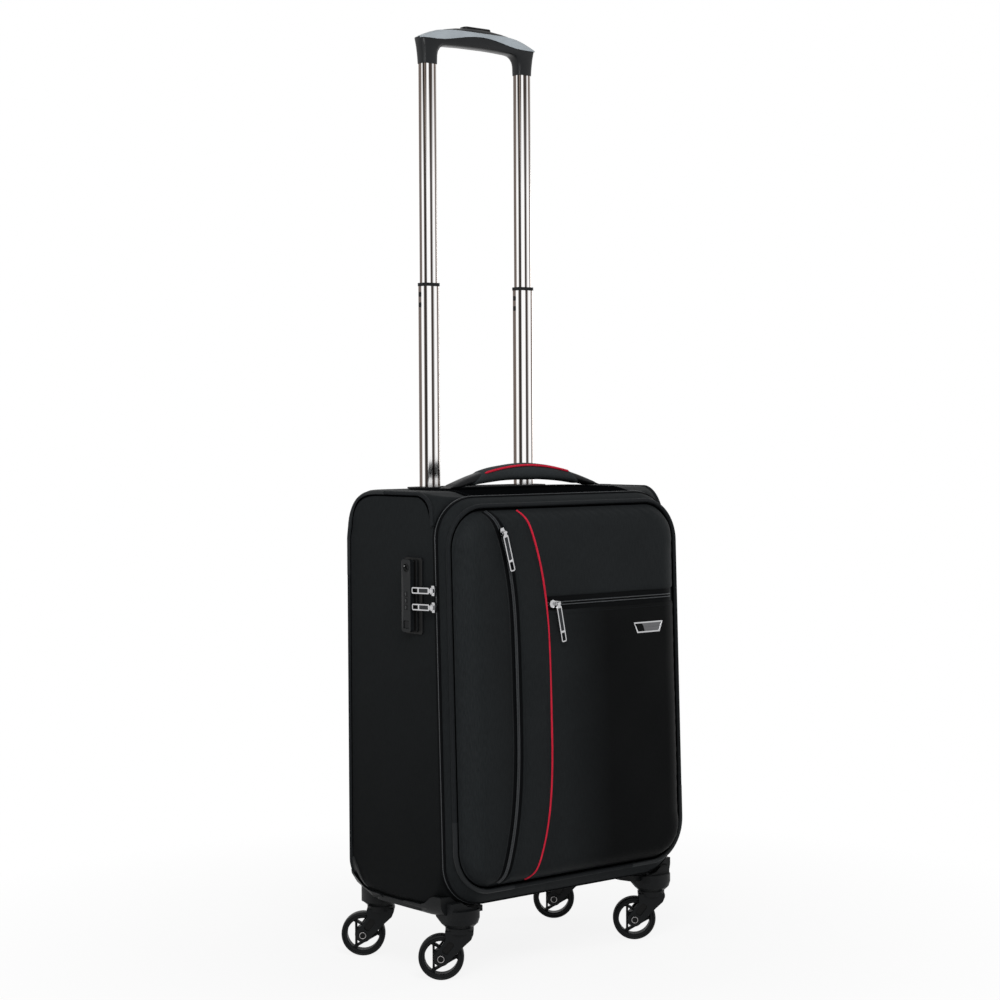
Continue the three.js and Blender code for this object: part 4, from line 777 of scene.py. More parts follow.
def front_panel(left, right, low, high, full, columns, rows, folded):
    """A padded panel between two lines of the front, with rolled edges and gathers by the piping.

    left and right give the panel's X at a height. folded names the edge that is a rolled hem.
    """
    height = low + (high - low) * crowded(rows)
    share = crowded(columns)
    a, b = left(height)[:, None], right(height)[:, None]
    x = a + (b - a) * share
    z = np.broadcast_to(height[:, None], x.shape)
    inset = inset_of(x, z)
    edge = np.clip((inset - 3.2) / 5, 0, 1)
    thick = 2.0 * np.sqrt(1 - (1 - edge) ** 2)
    hem = {"left": x - a, "right": b - x, "low": z - low, "high": high - z}[folded]
    thick = thick * rolled(hem)
    tall = np.clip(np.sin(np.pi * (z - low) / (high - low)), 0, 1)
    swell = np.sin(np.pi * np.clip((x - a) / (b - a), 0, 1)) * tall ** 0.5
    soft = full * swell + 0.35 * clouds(x, z, 24.0) * np.clip(inset / 25, 0, 1)
    gather = 0.32 * pucker(np.where(inset < 20, x + z, x - z), inset - 6) * edge
    outer = front_path(x, z, 0.3 + thick + soft + gather)
    return closed_sheet(outer, front_path(x, z, 0.15 - 0.6 * edge))


# Colours and settings that a user may change

def colour_property(name, description, default):
    """A colour of the sidebar panel."""
    return bpy.props.FloatVectorProperty(
        name=name, description=description, default=default, subtype="COLOR", min=0, max=1)


class SuitcaseColours(bpy.types.PropertyGroup):
    """Colours of the suitcase's finishes"""

    cloth: colour_property("Cloth", "Twill of the case and its pockets", (0.0125, 0.0142, 0.0152))
    red: colour_property("Red piping", "Bowed piping and the trim of the carry handle",
                         (0.54, 0.018, 0.042))
    plastic: colour_property("Plastic", "Guards, forks, grip and lock", (0.0048, 0.0054, 0.006))
    piping: colour_property("Piping", "Corded edge of the case", (0.0115, 0.013, 0.0142))
    nickel: colour_property("Nickel", "Zip pulls and sliders", (0.52, 0.52, 0.53))
    inlay: colour_property("Inlay", "Light strip of the grip", (0.37, 0.41, 0.44))


def power_property(name, description, default):
    """A lamp's power in the sidebar panel."""
    return bpy.props.FloatProperty(name=name, description=description, default=default, min=0, unit="POWER")


class SuitcaseStage(bpy.types.PropertyGroup):
    """Light and floor of the studio"""

    floor: colour_property("Floor", "Pale floor and backdrop", (0.9, 0.9, 0.9))
    key: power_property("Key light", "Power of the large lamp", 12.0)
    fill: power_property("Fill light", "Power of the lamp on the other side", 7.0)
    rim: power_property("Rim light", "Power of the lamp on the right", 5.0)
    sky: bpy.props.FloatProperty(
        name="Sky", description="Strength of the light from all round", default=0.33, min=0, max=1,
        subtype="FACTOR")
    lens: bpy.props.FloatProperty(
        name="Focal length", description="Focal length of the camera on a 36 mm sensor", default=77.911,
        min=10, unit="CAMERA")


class SuitcaseStep:
    """What the steps share: they register as operators and can be undone."""

    bl_options = {"REGISTER", "UNDO"}


class SUITCASE_OT_finishes(SuitcaseStep, bpy.types.Operator):
    """Makes the finishes and gives every rigid piece its plastic, metal or rubber"""

    bl_idname = "suitcase.finishes"
    bl_label = "Finishes"

    def execute(self, context):
        colours = context.scene.suitcase_colours
        black = tuple(colours.plastic)
        twill = tuple(colours.cloth)
        cloth("twill", twill, 0.0009)
        # Copies of the twill with painted light and shade: the case's cloth darkens towards its foot, the lower
        # pocket darkens towards its right, and the side pocket is made lighter, as a painted highlight, and
        # darkens towards its zip.
        cloth("case_twill", shade(twill, 0.92), 0.0009, painted_shade=(2, 0.50, 0.12, 0.36))
        cloth("pocket_twill", shade(twill, 0.92), 0.0009, painted_shade=(0, -0.02, 0.05, 0.2))
        cloth("side_twill", shade(twill, 1.22), 0.0009, painted_shade=(0, -0.142, -0.086, 0.5))
        # A copy of the twill two and a half times lighter: painted light on the handle's wrap.
        cloth("wrap", shade(twill, 2.5), 0.0006)
        # Near black: the finish of the cords that paint the shadow in the valleys beside the piping.
        cloth("seam", (0.0009, 0.001, 0.0011), 0.0006, sheen=0.0, gloss=0.0)
        cloth("lining", (0.035, 0.037, 0.042), 0.0006)
        cloth("tape", (0.003, 0.0034, 0.0038), 0.0007, gloss=0.02)
        # Near black, darker than the twill: the smooth band under the handle, with the handle's shadow painted
        # into its colour.
        cloth("saddle", (0.0026, 0.0029, 0.0033), 0.0005, sheen=0.0, gloss=0.0)
        cloth("red", tuple(colours.red), 0.0012)
        cloth("thread", (0.016, 0.018, 0.020), 0.0004, "Object")
        cloth("piping", tuple(colours.piping), 0.0008, gloss=0.05)
        moulded("teeth", (0.028, 0.031, 0.034), 0.35, gloss=0.3)
        moulded("sleeve", (0.0125, 0.0142, 0.0155), 0.5)
        moulded("coated", (0.0045, 0.005, 0.0056), 0.38)
        moulded("plastic", black, 0.45)
        moulded("lock_plastic", shade(black, 1.6), 0.35)
        moulded("numeral", (0.09, 0.092, 0.095), 0.4)
        moulded("grip_plastic", (0.0052, 0.0062, 0.0072), 0.28, gloss=0.22)
        moulded("rubber", (0.0045, 0.005, 0.0055), 0.5)
        moulded("pin", (0.003, 0.003, 0.003), 0.35)
        moulded("dot", (0.8, 0.8, 0.8), 0.4)
        moulded("enamel", (0.02, 0.022, 0.025), 0.3)
        moulded("inlay", tuple(colours.inlay), 0.3)
        brushed("nickel", tuple(colours.nickel), 0.16, 2)
        brushed("plate", (0.12, 0.12, 0.125), 0.3, 0)
        brushed("steel", (0.32, 0.31, 0.31), 0.25, 2)
        # The tubes' finishes, with their reflections painted into the colour.
        for side, centre in (("left", -TUBE_SIDE), ("right", TUBE_SIDE)):
            streaked(f"middle_tube_{side}", centre, 11.0, 7.8, 2000.0)
            streaked(f"upper_tube_{side}", centre, 9.5, 6.5, 880.0)
        words = {
            "pull": "nickel", "slider": "nickel", "badge": "nickel", "inlay": "inlay", "wheel": "rubber",
            "axle": "pin", "yoke": "steel", "grip": "grip_plastic", "outer_tube": "steel",
        }
        for name, node in frame["nodes"].items():
            kind = next((words[word] for word in words if word in name), "plastic")
            if f"{name}_finish" in bpy.data.materials:
                kind = name
            node.data.materials.clear()
            node.data.materials.append(finish_named(kind))
        self.ease_rigid_pieces()
        return {"FINISHED"}

    @staticmethod
    def ease_rigid_pieces():
        """Rounds the edges of the moulded and cast pieces, and gives their sunk fields a darker finish: the
        badge's and the pulls' own darker fields, and painted shade in the forks' slots and the lock's recess.
        """
        front, left = [Vector(FRONT)], [Vector((-1.0, 0.0, 0.0))]
        cheek = Vector((-0.6428, -0.766, 0.0))
        for depth in ("front", "back"):
            for side in ("left", "right"):
                # The forks' sunk slots get the black pin finish as painted shade.
                eased(f"caster_fork_{depth}_{side}", "plastic", 0.4, 28.0, ([cheek, -cheek], "pin"))
                eased(f"corner_guard_{depth}_{side}", "plastic", 0.6, 25.0)
        # The lock's sunk steps get the black pin finish as painted shade in its recess.
        eased("lock_housing", "lock_plastic", 0.5, 25.0, (left, "pin"))
        eased("lock_button", "plastic", 0.3)
        eased("grip_body", "grip_plastic", 2.0, 48.0, segments=4)
        eased("release_button", "pin", 0.9, segments=3)
        eased("handle_bezel", "plastic", 0.5)
        eased("badge_plate", "nickel", 0.15, 30.0, (front, "plate"))
        zips = (("main_{}_upper", left), ("main_{}_lower", left),
                ("side_pocket_{}", front), ("front_pocket_{}", front))
        for name, outward in zips:
            eased(name.format("pull"), "nickel", 0.25, 30.0, (outward, "enamel"))
            eased(name.format("slider"), "nickel", 0.3)


class SUITCASE_OT_case(SuitcaseStep, bpy.types.Operator):
    """Makes the case's cloth, its back panel and its lining"""

    bl_idname = "suitcase.case"
    bl_label = "Case"

    def execute(self, context):
        outer, inner = self.shell(0.0), self.shell(-CASE_WALL)
        outer[..., 0] += np.sign(outer[..., 0]) * self.swell(outer)
        shell = closed_sheet(outer, inner, wrap=True, keep=self.outside_holes)
        piece("case_cloth", *shell, "case_twill", "case", "fabric", replaces="case_shell")
        for name, side in SIDES:
            rail = pebble((side * 165.5, 2.0, 75.6), (5.2, 41.0, 3.2), 0.25, 12, 24)
            piece(f"base_rail_{name}", *rail, "plastic", "case", "black_plastic")
            piece(f"guard_wing_{name}", *self.guard_wing(side), "plastic", "case", "black_plastic")
        self.back_panel()
        self.lining()
        return {"FINISHED"}

    @staticmethod
    def shell(by):
        """The case's rows of points from the zip to the back edge, grown by a margin.

        Rows lie at the limits of the lock's opening and of the handle's recess. The last ones turn the
        back edge with a quarter circle.
        """
        lock_front, lock_back = LOCK_WINDOW[2:]
        edge = CASE_BACK - BACK_EDGE
        front = FRONT_CURVE[0] - FRONT_CURVE[1] * np.sin(np.linspace(1, 0, 12) * np.pi / 2)
        flat = np.linspace(FRONT_CURVE[0], CUP[1], 16)[1:]
        depths = np.unique(np.concatenate([
            np.linspace(ZIP_PLANE, front[0], 4)[:-1], front[front < lock_front], [lock_front],
            front[(front > lock_front + 1) & (front < FRONT_CURVE[0])],
            flat[flat < lock_back], [lock_back], flat[flat > lock_back + 1],
            np.linspace(CUP[1], CUP[2], 10)[1:], [edge]]))
        angle = np.linspace(0, np.pi / 2, 6)[1:]
        size = BACK_EDGE + by / 2
        shrink = by - size * (1 - np.cos(angle))
        x, z = ring(CASE_HALF + shrink, CASE_LOW - shrink, CASE_HIGH + shrink, CORNER_BACK + shrink,
                    *HOLE_STOPS, foot=CORNER_FOOT + shrink)
        turned = xyz(x, edge + size * np.sin(angle)[:, None], z)
        return np.concatenate([case_grid(depths, by, HOLE_STOPS), turned])

    @staticmethod
    def guard_wing(side):
        """The thin wing of a back guard, round the low back corner and longer towards its foot."""
        share = np.linspace(0, 1, 30)[:, None]
        start = 79 - 33 * share ** 0.8
        y = start + (88.6 - start) * np.linspace(0, 1, 14)
        radius = np.minimum(corner_radius(y), CORNER_FOOT)
        angle = np.radians(177 + 91 * share)
        edge = np.minimum(np.minimum(y - start, 3.0), 40 * np.minimum(share, 1 - share))
        sheets = []
        for lift in (0.35 + 0.6 * rolled(edge, 1.5), -0.4):
            x = radius - CASE_HALF + (radius + lift) * np.cos(angle)
            z = CASE_LOW + radius + (radius + lift) * np.sin(angle)
            sheets.append(xyz(-side * x, y, z))
        return closed_sheet(*sheets)

    @staticmethod
    def swell(points):
        """The stiff sides stand out by under a millimetre in their middles, with a little unevenness."""
        x, y, z = points[..., 0], points[..., 1], points[..., 2]
        side = np.clip((np.abs(x) - (CASE_HALF - 2)) / 2, 0, 1)
        middle = (np.clip(1 - ((y - 5) / 75) ** 2, 0, 1)
                  * np.clip(1 - ((z - CASE_MIDDLE) / 215) ** 2, 0, 1))
        return side * middle * (0.5 + 0.12 * clouds(y, z, 30.0))

    @staticmethod
    def outside_holes(middles):
        """Leaves out what lies over the handle's recess and behind the lock."""
        x, y, z = middles.T
        cup = (z > CASE_HIGH - 5) & (np.abs(x) < CUP[0]) & (y > CUP[1]) & (y < CUP[2])
        lock = ((x < 5 - CASE_HALF) & (z > LOCK_WINDOW[0]) & (z < LOCK_WINDOW[1])
                & (y > LOCK_WINDOW[2] + 1) & (y < LOCK_WINDOW[3]))
        return ~(cup | lock)

    @staticmethod
    def back_panel():
        """The flat board behind the tubes: raised by a millimetre inside a rounded step, with a sewn line."""
        inset = np.concatenate([[5, 8, 12, 16, 19], np.linspace(20.5, 25, 8), np.linspace(30, 160, 12)])
        rise = np.clip((inset - 20.5) / 3, 0, 1)
        x, z = ring(CASE_HALF - inset, CASE_LOW + inset, CASE_HIGH - inset,
                    np.maximum(CORNER_BACK - inset, 4))
        outer = xyz(x, (91.8 + 1.1 * np.sin(rise * np.pi / 2))[:, None], z)
        piece("back_panel", *closed_sheet(outer, outer - (0, 3.2, 0), wrap=True, pole=True),
              "twill", "case", "fabric")
        seam = outer[inset.tolist().index(30.0)]
        piece("back_stitching", *stitches(seam, (0.0, 1.0, 0.0)), "thread", "case", "fabric")

    @staticmethod
    def lining():
        """A thin cloth tray inside the case, with slack folds along its walls."""
        depths = np.concatenate([np.linspace(ZIP_PLANE + 1, -60, 6), np.linspace(-50, 51, 14)])
        shrink = np.array([4.0, 20, 60, 110, 160])
        sheets = []
        for by, floor in ((-CASE_WALL - 0.4, 52.0), (-CASE_WALL - 1.9, 50.4)):
            x, z = ring(CASE_HALF + by - shrink, CASE_LOW - by + shrink, CASE_HIGH + by - shrink,
                        np.maximum(16.0 - shrink, 4))
            sheets.append(np.concatenate([case_grid(depths, by), xyz(x, floor, z)]))
        piece("lining_cloth", *closed_sheet(*sheets, wrap=True, pole=True), "lining", "case", "lining",
              replaces="case_lining")


class SUITCASE_OT_piping(SuitcaseStep, bpy.types.Operator):
    """Makes the corded piping of the case's sides and of the lid, with their sleeves"""

    bl_idname = "suitcase.piping"
    bl_label = "Piping"

    @staticmethod
    def side_path(side):
        """Along the top edge, down the back edge, and round the open corner down to the zip in front."""
        depths = np.concatenate([
            FRONT_CURVE[0] - 32.4 * np.sin(np.linspace(1, 0, 26) * np.pi / 2),
            np.linspace(FRONT_CURVE[0], BACK_CURVE[0], 14)[1:],
            BACK_CURVE[0] + BACK_CURVE[1] * np.sin(np.linspace(0, 1, 22)[1:] * np.pi / 2)])
        radius = corner_radius(depths)
        open_share = np.clip((radius - EDGE) / (CORNER_FRONT - EDGE), 0, 1)
        angle = np.radians(45 * (1 - open_share))
        reach = radius + 1.1
        z = CASE_HIGH - radius + reach * np.sin(angle)
        x = CASE_HALF - radius + reach * np.cos(angle)
        share = front_share(depths)
        top = xyz(x, depths + share * lean_at(z), z + share * drawn_in(z))[:-1]
        turn = np.radians(np.linspace(0, 34, 12))
        foot = xyz(CASE_HALF - CORNER_FOOT + (CORNER_FOOT - 0.3) * np.cos(turn), 91.6,
                   CASE_LOW + CORNER_FOOT - (CORNER_FOOT - 0.3) * np.sin(turn))
        back = xyz(foot[0, 0], 91.6, np.linspace(CASE_HIGH - CORNER_BACK - 6, foot[0, 2] + 3, 30))
        path = resampled(np.concatenate([top, back, foot]), 2.5)
        path[:, 0] *= side
        return path

    @staticmethod
    def beside(path, side):
        """A line of painted shadow that runs beside a cord, on the side's panel, in the valley along the cord.
        """
        across = frames(path, (side, 0, 0))[1]
        inward = np.sign(np.einsum("ij,ij->i", across, np.array([0, 0, CASE_MIDDLE]) - path))[:, None]
        groove = path + 3.0 * across * inward
        groove[:, 0] = side * (CASE_HALF - 0.6)
        groove = groove[4:]
        return groove[(groove[:, 2] > 122) | (groove[:, 1] < 60)]

    @staticmethod
    def lid_path(shift=0.0):
        """The lid's front outline, a little outside it."""
        by = 1.1 + shift
        x, z = ring(LID_HALF + by, LID_LOW - by, LID_HIGH + by, LID_CORNER + by, count=30, corner=16)
        x, z = x[0], z[0]
        return xyz(x, LID_PLANE + lean_at(z) - 1.1, z)

    def execute(self, context):
        for name, side in SIDES:
            path = self.side_path(side)
            outward = (side * 0.7, 0.35, 0.6)
            piece(f"side_cord_{name}", *cord(path, tapered(path, 2.3, 2.0), outward), "piping", "case",
                  "piping", replaces=f"side_piping_{name}")
            joint = path[(path[:, 2] > 432) & (path[:, 1] > 24)]
            piece(f"side_sleeve_{name}", *cord(joint, 2.5, outward), "sleeve", "case", "piping")
        # Near-black cords of painted shadow in the valleys beside the side cords and just inside the lid's
        # cord.
        for name, side in SIDES:
            groove = self.beside(self.side_path(side), side)
            piece(f"side_seam_shadow_{name}", *cord(groove, 0.9, (side, 0, 0), 8), "seam", "case", "fabric")
        piece("lid_seam_shadow", *cord(self.lid_path(-3.6), 1.0, FRONT, 8, loop=True), "seam", "lid", "fabric")
        path = self.lid_path()
        piece("lid_cord", *cord(path, 2.5, FRONT, loop=True), "piping", "lid", "piping",
              replaces="lid_piping")
        low = path[path[:, 2] < 181]
        left, right = low[low[:, 0] < -86], low[low[:, 0] > 87]
        right = right[np.argsort(np.arctan2(right[:, 2] - 150, right[:, 0] - 100))]
        for name, joint in (("left", left), ("right", right)):
            piece(f"lid_sleeve_{name}", *cord(joint, 2.72, FRONT), "sleeve", "lid", "piping")
        return {"FINISHED"}


class SUITCASE_OT_lid(SuitcaseStep, bpy.types.Operator):
    """Makes the lid's gusset, tray and cloth hinge"""

    bl_idname = "suitcase.lid"
    bl_label = "Lid"

    def execute(self, context):
        outer = np.concatenate([self.gusset(0.0), self.front(0.0)])
        inner = np.concatenate([self.gusset(-3.0), self.front(3.0)])
        piece("lid_cloth", *closed_sheet(outer, inner, wrap=True, pole=True), "twill", "lid", "fabric",
              replaces="lid_shell")
        self.hinge()
        return {"FINISHED"}

    @staticmethod
    def gusset(by):
        """From the zip line to the front outline, a little full between them."""
        share = np.linspace(0, 1, 9)[:-1]
        full = np.sin(share * np.pi) + by

        def between(a, b):
            """From the case's size to the lid's."""
            return a + (b - a) * share

        x, z = ring(between(CASE_HALF, LID_HALF) + full, between(CASE_LOW, LID_LOW) - full,
                    between(CASE_HIGH, LID_HIGH) + full, between(CORNER_FRONT, LID_CORNER) + by)
        y = between(ZIP_PLANE - 0.3, LID_PLANE)[:, None] + lean_at(z)
        return xyz(x, y, z + (1 - share)[:, None] * drawn_in(z))

    @staticmethod
    def front(depth):
        """The padded front, or with a depth the flat floor of the tray behind it."""
        inset = np.concatenate([[0.0, 1.5, 3.0, 4.5], np.linspace(5.5, 34, 18), np.linspace(40, 160, 22)])
        if depth:
            inset = depth + inset * (160 - depth) / 160
        x, z = ring(LID_HALF - inset, LID_LOW + inset, LID_HIGH - inset, np.maximum(LID_CORNER - inset, 0.6))
        return xyz(x, LID_PLANE + 2.5 + lean_at(z) if depth else front_y(x, z), z)

    @staticmethod
    def hinge():
        """A strip of cloth down the right side, between the case and the lid."""
        depths, heights = (-89, -56), (134, 474)
        y, z = np.meshgrid(np.linspace(*depths[::-1], 26), np.linspace(*heights, 60), indexing="ij")
        share = np.clip((ZIP_PLANE - y) / 14, 0, 1)
        x = CASE_HALF - 4 * share + np.sin(share * np.pi) + 0.5
        edge = np.minimum(margin(y, *depths), margin(z, *heights))
        y = y + lean_at(z)
        outer, inner = xyz(x + 0.9 * rolled(edge, 1.2), y, z), xyz(x - 0.2, y, z)
        strip = piece("lid_hinge_cloth", *closed_sheet(outer, inner), "twill", None, "fabric",
                      replaces="lid_hinge_tape")
        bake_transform(strip)


class SUITCASE_OT_pockets(SuitcaseStep, bpy.types.Operator):
    """Makes the padded pocket panels and the red piping between them"""

    bl_idname = "suitcase.pockets"
    bl_label = "Pockets"

    def execute(self, context):
        def left_edge(z):
            """X of the panels' left limit inside the piping."""
            return -lid_half_at(z, 3.5)

        def right_edge(z):
            """X of the panels' right limit inside the piping."""
            return lid_half_at(z, 3.5)

        def beside_red(z):
            """X of the large pocket's left limit."""
            return red_x(z) + 1.4

        panels = (
            ("side_pocket", "side_twill", "side_pocket_panel",
             (left_edge, lambda z: side_zip_x(z) - TAPE_HALF, 103.5, 508.5, 2.2, 60, 160, "right")),
            ("upper_pocket", "twill", "main_pocket_panel",
             (beside_red, right_edge, 413.0, 510.4, 0.6, 90, 60, "low")),
            ("lower_pocket", "pocket_twill", None,
             (beside_red, right_edge, 102.8, 398.4, 1.4, 90, 130, "high")),
            ("strip", "twill", None,
             (lambda z: side_zip_x(z) + TAPE_HALF + 0.6, lambda z: red_x(z) - 1.2,
              103.0, 509.5, 0.2, 40, 160, "left")),
        )
        for name, finish, node, limits in panels:
            piece(f"{name}_cloth", *front_panel(*limits), finish, "lid", "fabric", replaces=node, soft=True)
        z = np.linspace(105.0, 508.8, 200)
        path = resampled(front_path(red_x(z), z, 2.0), 1.6)
        piece("red_cord", *cord(path, 1.25, FRONT), "red", "lid", "red_fabric", replaces="red_piping")
        return {"FINISHED"}


class SUITCASE_OT_zips(SuitcaseStep, bpy.types.Operator):
    """Makes the zips' tapes and coils"""

    bl_idname = "suitcase.zips"
    bl_label = "Zips"

    def execute(self, context):
        z = np.linspace(107, 509, 220)
        piece("side_zip_cloth", *self.band(side_zip_x(z), z, TAPE_HALF + 1.5, True), "tape", "lid",
              "zip_tape", replaces="side_zip_tape")
        piece("side_zip_coil", *coil(front_path(side_zip_x(z), z, 1.3), FRONT), "teeth", "lid", "zip_tape")
        x = np.linspace(-42.5, 147.5, 120)
        level = np.full_like(x, ZIP_HEIGHT)
        piece("front_zip_cloth", *self.band(x, level, 8.0, False), "tape", "lid", "zip_tape",
              replaces="front_zip_tape")
        piece("front_zip_coil", *coil(front_path(x, level, 1.3), FRONT, 0.9, 1.5), "teeth", "lid",
              "zip_tape")
        self.main_zip()
        return {"FINISHED"}

    @staticmethod
    def band(x, z, half, upright):
        """A flat woven tape along a line of the front, sunk a little between the panels."""
        offset = np.linspace(-half, half, 9)[:, None]
        x, z = (x + offset, z + 0 * offset) if upright else (x + 0 * offset, z + offset)
        return closed_sheet(front_path(x, z, 0.55), front_path(x, z, -0.2))

    @staticmethod
    def main_zip():
        """The long zip: two narrow tapes and a coil round the case from the hinge over the top and back."""
        corner = CORNER_FRONT + 0.5
        x, z = ring(CASE_HALF + 0.5, CASE_LOW - 0.5, CASE_HIGH + 0.5, corner, count=40, corner=20)
        right_side = 3 * 40
        x, z = x[0, right_side:], z[0, right_side:]
        middle = xyz(x, ZIP_PLANE + 2.2 + lean_at(z), z + drawn_in(z))
        across, up = (
            np.sign(off) * np.clip(np.abs(off) - half + CORNER_FRONT, 0, None)
            for off, half in ((x, CASE_HALF), (z - CASE_MIDDLE, CASE_TALL_HALF)))
        outward = xyz(across, 0.0, up)
        outward /= np.linalg.norm(outward, axis=1, keepdims=True)
        offsets = np.linspace(-3.4, 4.6, 9)
        outer = middle[None] + offsets[:, None, None] * np.array([0, 1, 0]) + 0.45 * outward[None]
        inner = outer - 0.9 * outward[None]
        piece("main_zip_cloth", *closed_sheet(outer, inner), "tape", "case", "zip_tape",
              replaces="main_zip_chain")
        line = middle + 0.85 * outward
        path = resampled(line, 0.3)
        normals = read_along(outward, lengths(line), lengths(path))
        piece("main_zip_coil", *cord(path, toothed(path, 0.72, 1.9, 0.22), normals, 6), "teeth", "case",
              "zip_tape")


class SUITCASE_OT_stitching(SuitcaseStep, bpy.types.Operator):
    """Sews the rows of stitches beside the zips and the piping"""

    bl_idname = "suitcase.stitching"
    bl_label = "Stitching"

    def execute(self, context):
        rows = []
        x = np.linspace(-38, 150, 160)
        for height in (417.4, 394.3):
            rows.append(stitches(front_path(x, np.full_like(x, height), 2.75), FRONT))
        z = np.linspace(111, 504, 260)
        for shift, lift in ((-9.6, 3.1), (10.6, 2.5)):
            rows.append(stitches(front_path(side_zip_x(z) + shift, z, lift), FRONT))
        rows.append(stitches(front_path(red_x(z) - 4.6, z, 2.55), FRONT))
        piece("front_stitching", *joined(rows), "thread", "lid", "fabric")
        return {"FINISHED"}


class SUITCASE_OT_carry(SuitcaseStep, bpy.types.Operator):
    """Makes the carry handle with its wrap, smooth ends, red trim and base"""

    bl_idname = "suitcase.carry"
    bl_label = "Carry handle"

    @staticmethod
    def limits(x):
        """The handle's upper and lower height along its length."""
        top = 534.5 + 25.0 * (1 - np.clip(np.abs(x) / 113, 0, 1) ** 1.9)
        low = 530.6 + 9.4 * (1 - np.clip(np.abs(x) / 97, 0, 1) ** 2.3)
        return low, top

    def loft(self, x, grow, reach=0.0):
        """Rounded-square sections along the arch. A reach makes the lower side run out past the upper."""
        angle = turns(28, 0.5)
        across, up = powered(np.cos(angle), 0.72), powered(np.sin(angle), 0.72)
        along = x[:, None] + np.sign(x[:, None]) * reach * (np.abs(x[:, None]) / 63) ** 6 * (1 - up) / 2
        low, top = self.limits(along)
        grow = grow[:, None]
        points = xyz(along, -10.8 + (10.8 + grow) * across, (top + low) / 2 + ((top - low) / 2 + grow) * up)
        return capped(points, points[[0, -1]].mean(axis=1))

    def execute(self, context):
        x = np.linspace(-113, 113, 100)
        piece("handle_strap", *self.loft(x, -1.4 - 0.6 * (np.abs(x) > 104)), "coated", "case", "fabric",
              replaces="carry_handle")
        x = np.linspace(-63, 63, 110)
        grow = 0.7 * rolled(63 - np.abs(x), 2.5) - 0.9 + 0.12 * clouds(x, 0 * x, 9.0)
        # The wrap's lighter twill is painted light.
        piece("handle_wrap", *self.loft(x, grow, 18.0), "wrap", "case", "fabric", soft=True)
        x = np.linspace(-62.5, 62.5, 80)
        path = xyz(x, -20.9, self.limits(x)[1] - 2.7)
        piece("handle_trim", *cord(path, tapered(path, 1.35), (0.0, -0.7, 0.7)), "red", "case",
              "red_fabric", replaces="carry_handle_trim")
        self.saddle()
        return {"FINISHED"}

    @staticmethod
    def saddle():
        """The smooth band on the case's top under the handle, with a rolled edge and stitches at its ends. Its
        near-black finish carries the handle's painted shadow.
        """
        half, front, back = 121, -66, 46
        x, y = np.meshgrid(np.linspace(-half, half, 90), np.linspace(front, back, 50), indexing="ij")
        edge = np.minimum(margin(x, -half, half), margin(y, front, back))
        top = CASE_HIGH - TOP_IN * front_share(y)
        saddle = closed_sheet(xyz(x, y, top + 0.15 + 0.75 * rolled(edge, 1.6)), xyz(x, y, top - 0.3))
        piece("handle_saddle", *saddle, "saddle", "case", "fabric")
        y = np.linspace(front + 2, back - 2, 60)
        z = CASE_HIGH + 0.95 - TOP_IN * front_share(y)
        rows = [stitches(xyz(side * (half - 3.0), y, z), (0.0, 0.0, 1.0)) for name, side in SIDES]
        piece("saddle_stitching", *joined(rows), "thread", "case", "fabric")


def trailed(points, side, depth):
    """Points drawn round a caster's swivel axis, turned to trail and set at its corner."""
    turn = np.array(Matrix.Rotation(math.radians(-140.0), 3, "Z"))
    return points @ turn + (side * SWIVEL[0], depth * SWIVEL[1], 0)


class SUITCASE_OT_casters(SuitcaseStep, bpy.types.Operator):
    """Makes the wheels with their webs and the light rings of their axles"""

    bl_idname = "suitcase.casters"
    bl_label = "Casters"

    @staticmethod
    def tyre():
        """A ring with rounded shoulders and a shallow groove in both walls."""
        half = np.array([
            (18.2, 6.2), (18.8, 6.9), (21.2, 7.1), (21.6, 6.8), (22.0, 7.2), (22.6, 7.5),
            (23.6, 7.2), (24.4, 6.4), (24.8, 5.2), (24.95, 3.0), (25.0, 1.0)])
        return np.concatenate([half, half[::-1] * (1, -1)])

    @staticmethod
    def web(turn):
        """A straight bar of the web: a rounded section carried along a chord, thicker at both ends."""
        half = 19.2
        along = np.linspace(-half, half, 30)
        angle = turns(16, 0.5)
        across, up = powered(np.cos(angle), 0.5), powered(np.sin(angle), 0.5)
        thick = 1.25 + 1.3 * (np.abs(along) / half) ** 6
        grid = xyz(along[:, None], 5.0 * across, 8.3 + thick[:, None] * up)
        c, s = math.cos(turn), math.sin(turn)
        grid = grid @ np.array([(c, 0, -s), (0, 1, 0), (s, 0, c)])
        return capped(grid, grid[[0, -1]].mean(axis=1))

    def execute(self, context):
        hub = [(3.3, 7.2), (8.8, 7.4), (9.4, 6.8), (9.4, -6.8), (8.8, -7.4), (3.3, -7.2)]
        webs = [self.web(math.pi / 2 + bar * 2 * math.pi / 3) for bar in range(3)]
        points, faces = joined([lathe(self.tyre(), 96), lathe(hub, 48), *webs])
        rings = [lathe(round_ring(3.5, 0.42, face * 14.2), 40) for face in (-1, 1)]
        ring_points, ring_faces = joined(rings)
        for depth_name, depth in (("front", -1), ("back", 1)):
            for side_name, side in SIDES:
                place = f"{depth_name}_{side_name}"
                piece(f"wheel_{place}_fine", trailed(points + WHEEL_MIDDLE, side, depth), faces, "rubber",
                      f"wheel_{place}", "wheel_rubber", replaces=f"caster_wheel_{place}", sharp=35.0)
                piece(f"axle_ring_{place}", trailed(ring_points + WHEEL_MIDDLE, side, depth), ring_faces,
                      "steel", f"fork_{place}", "steel")
        return {"FINISHED"}


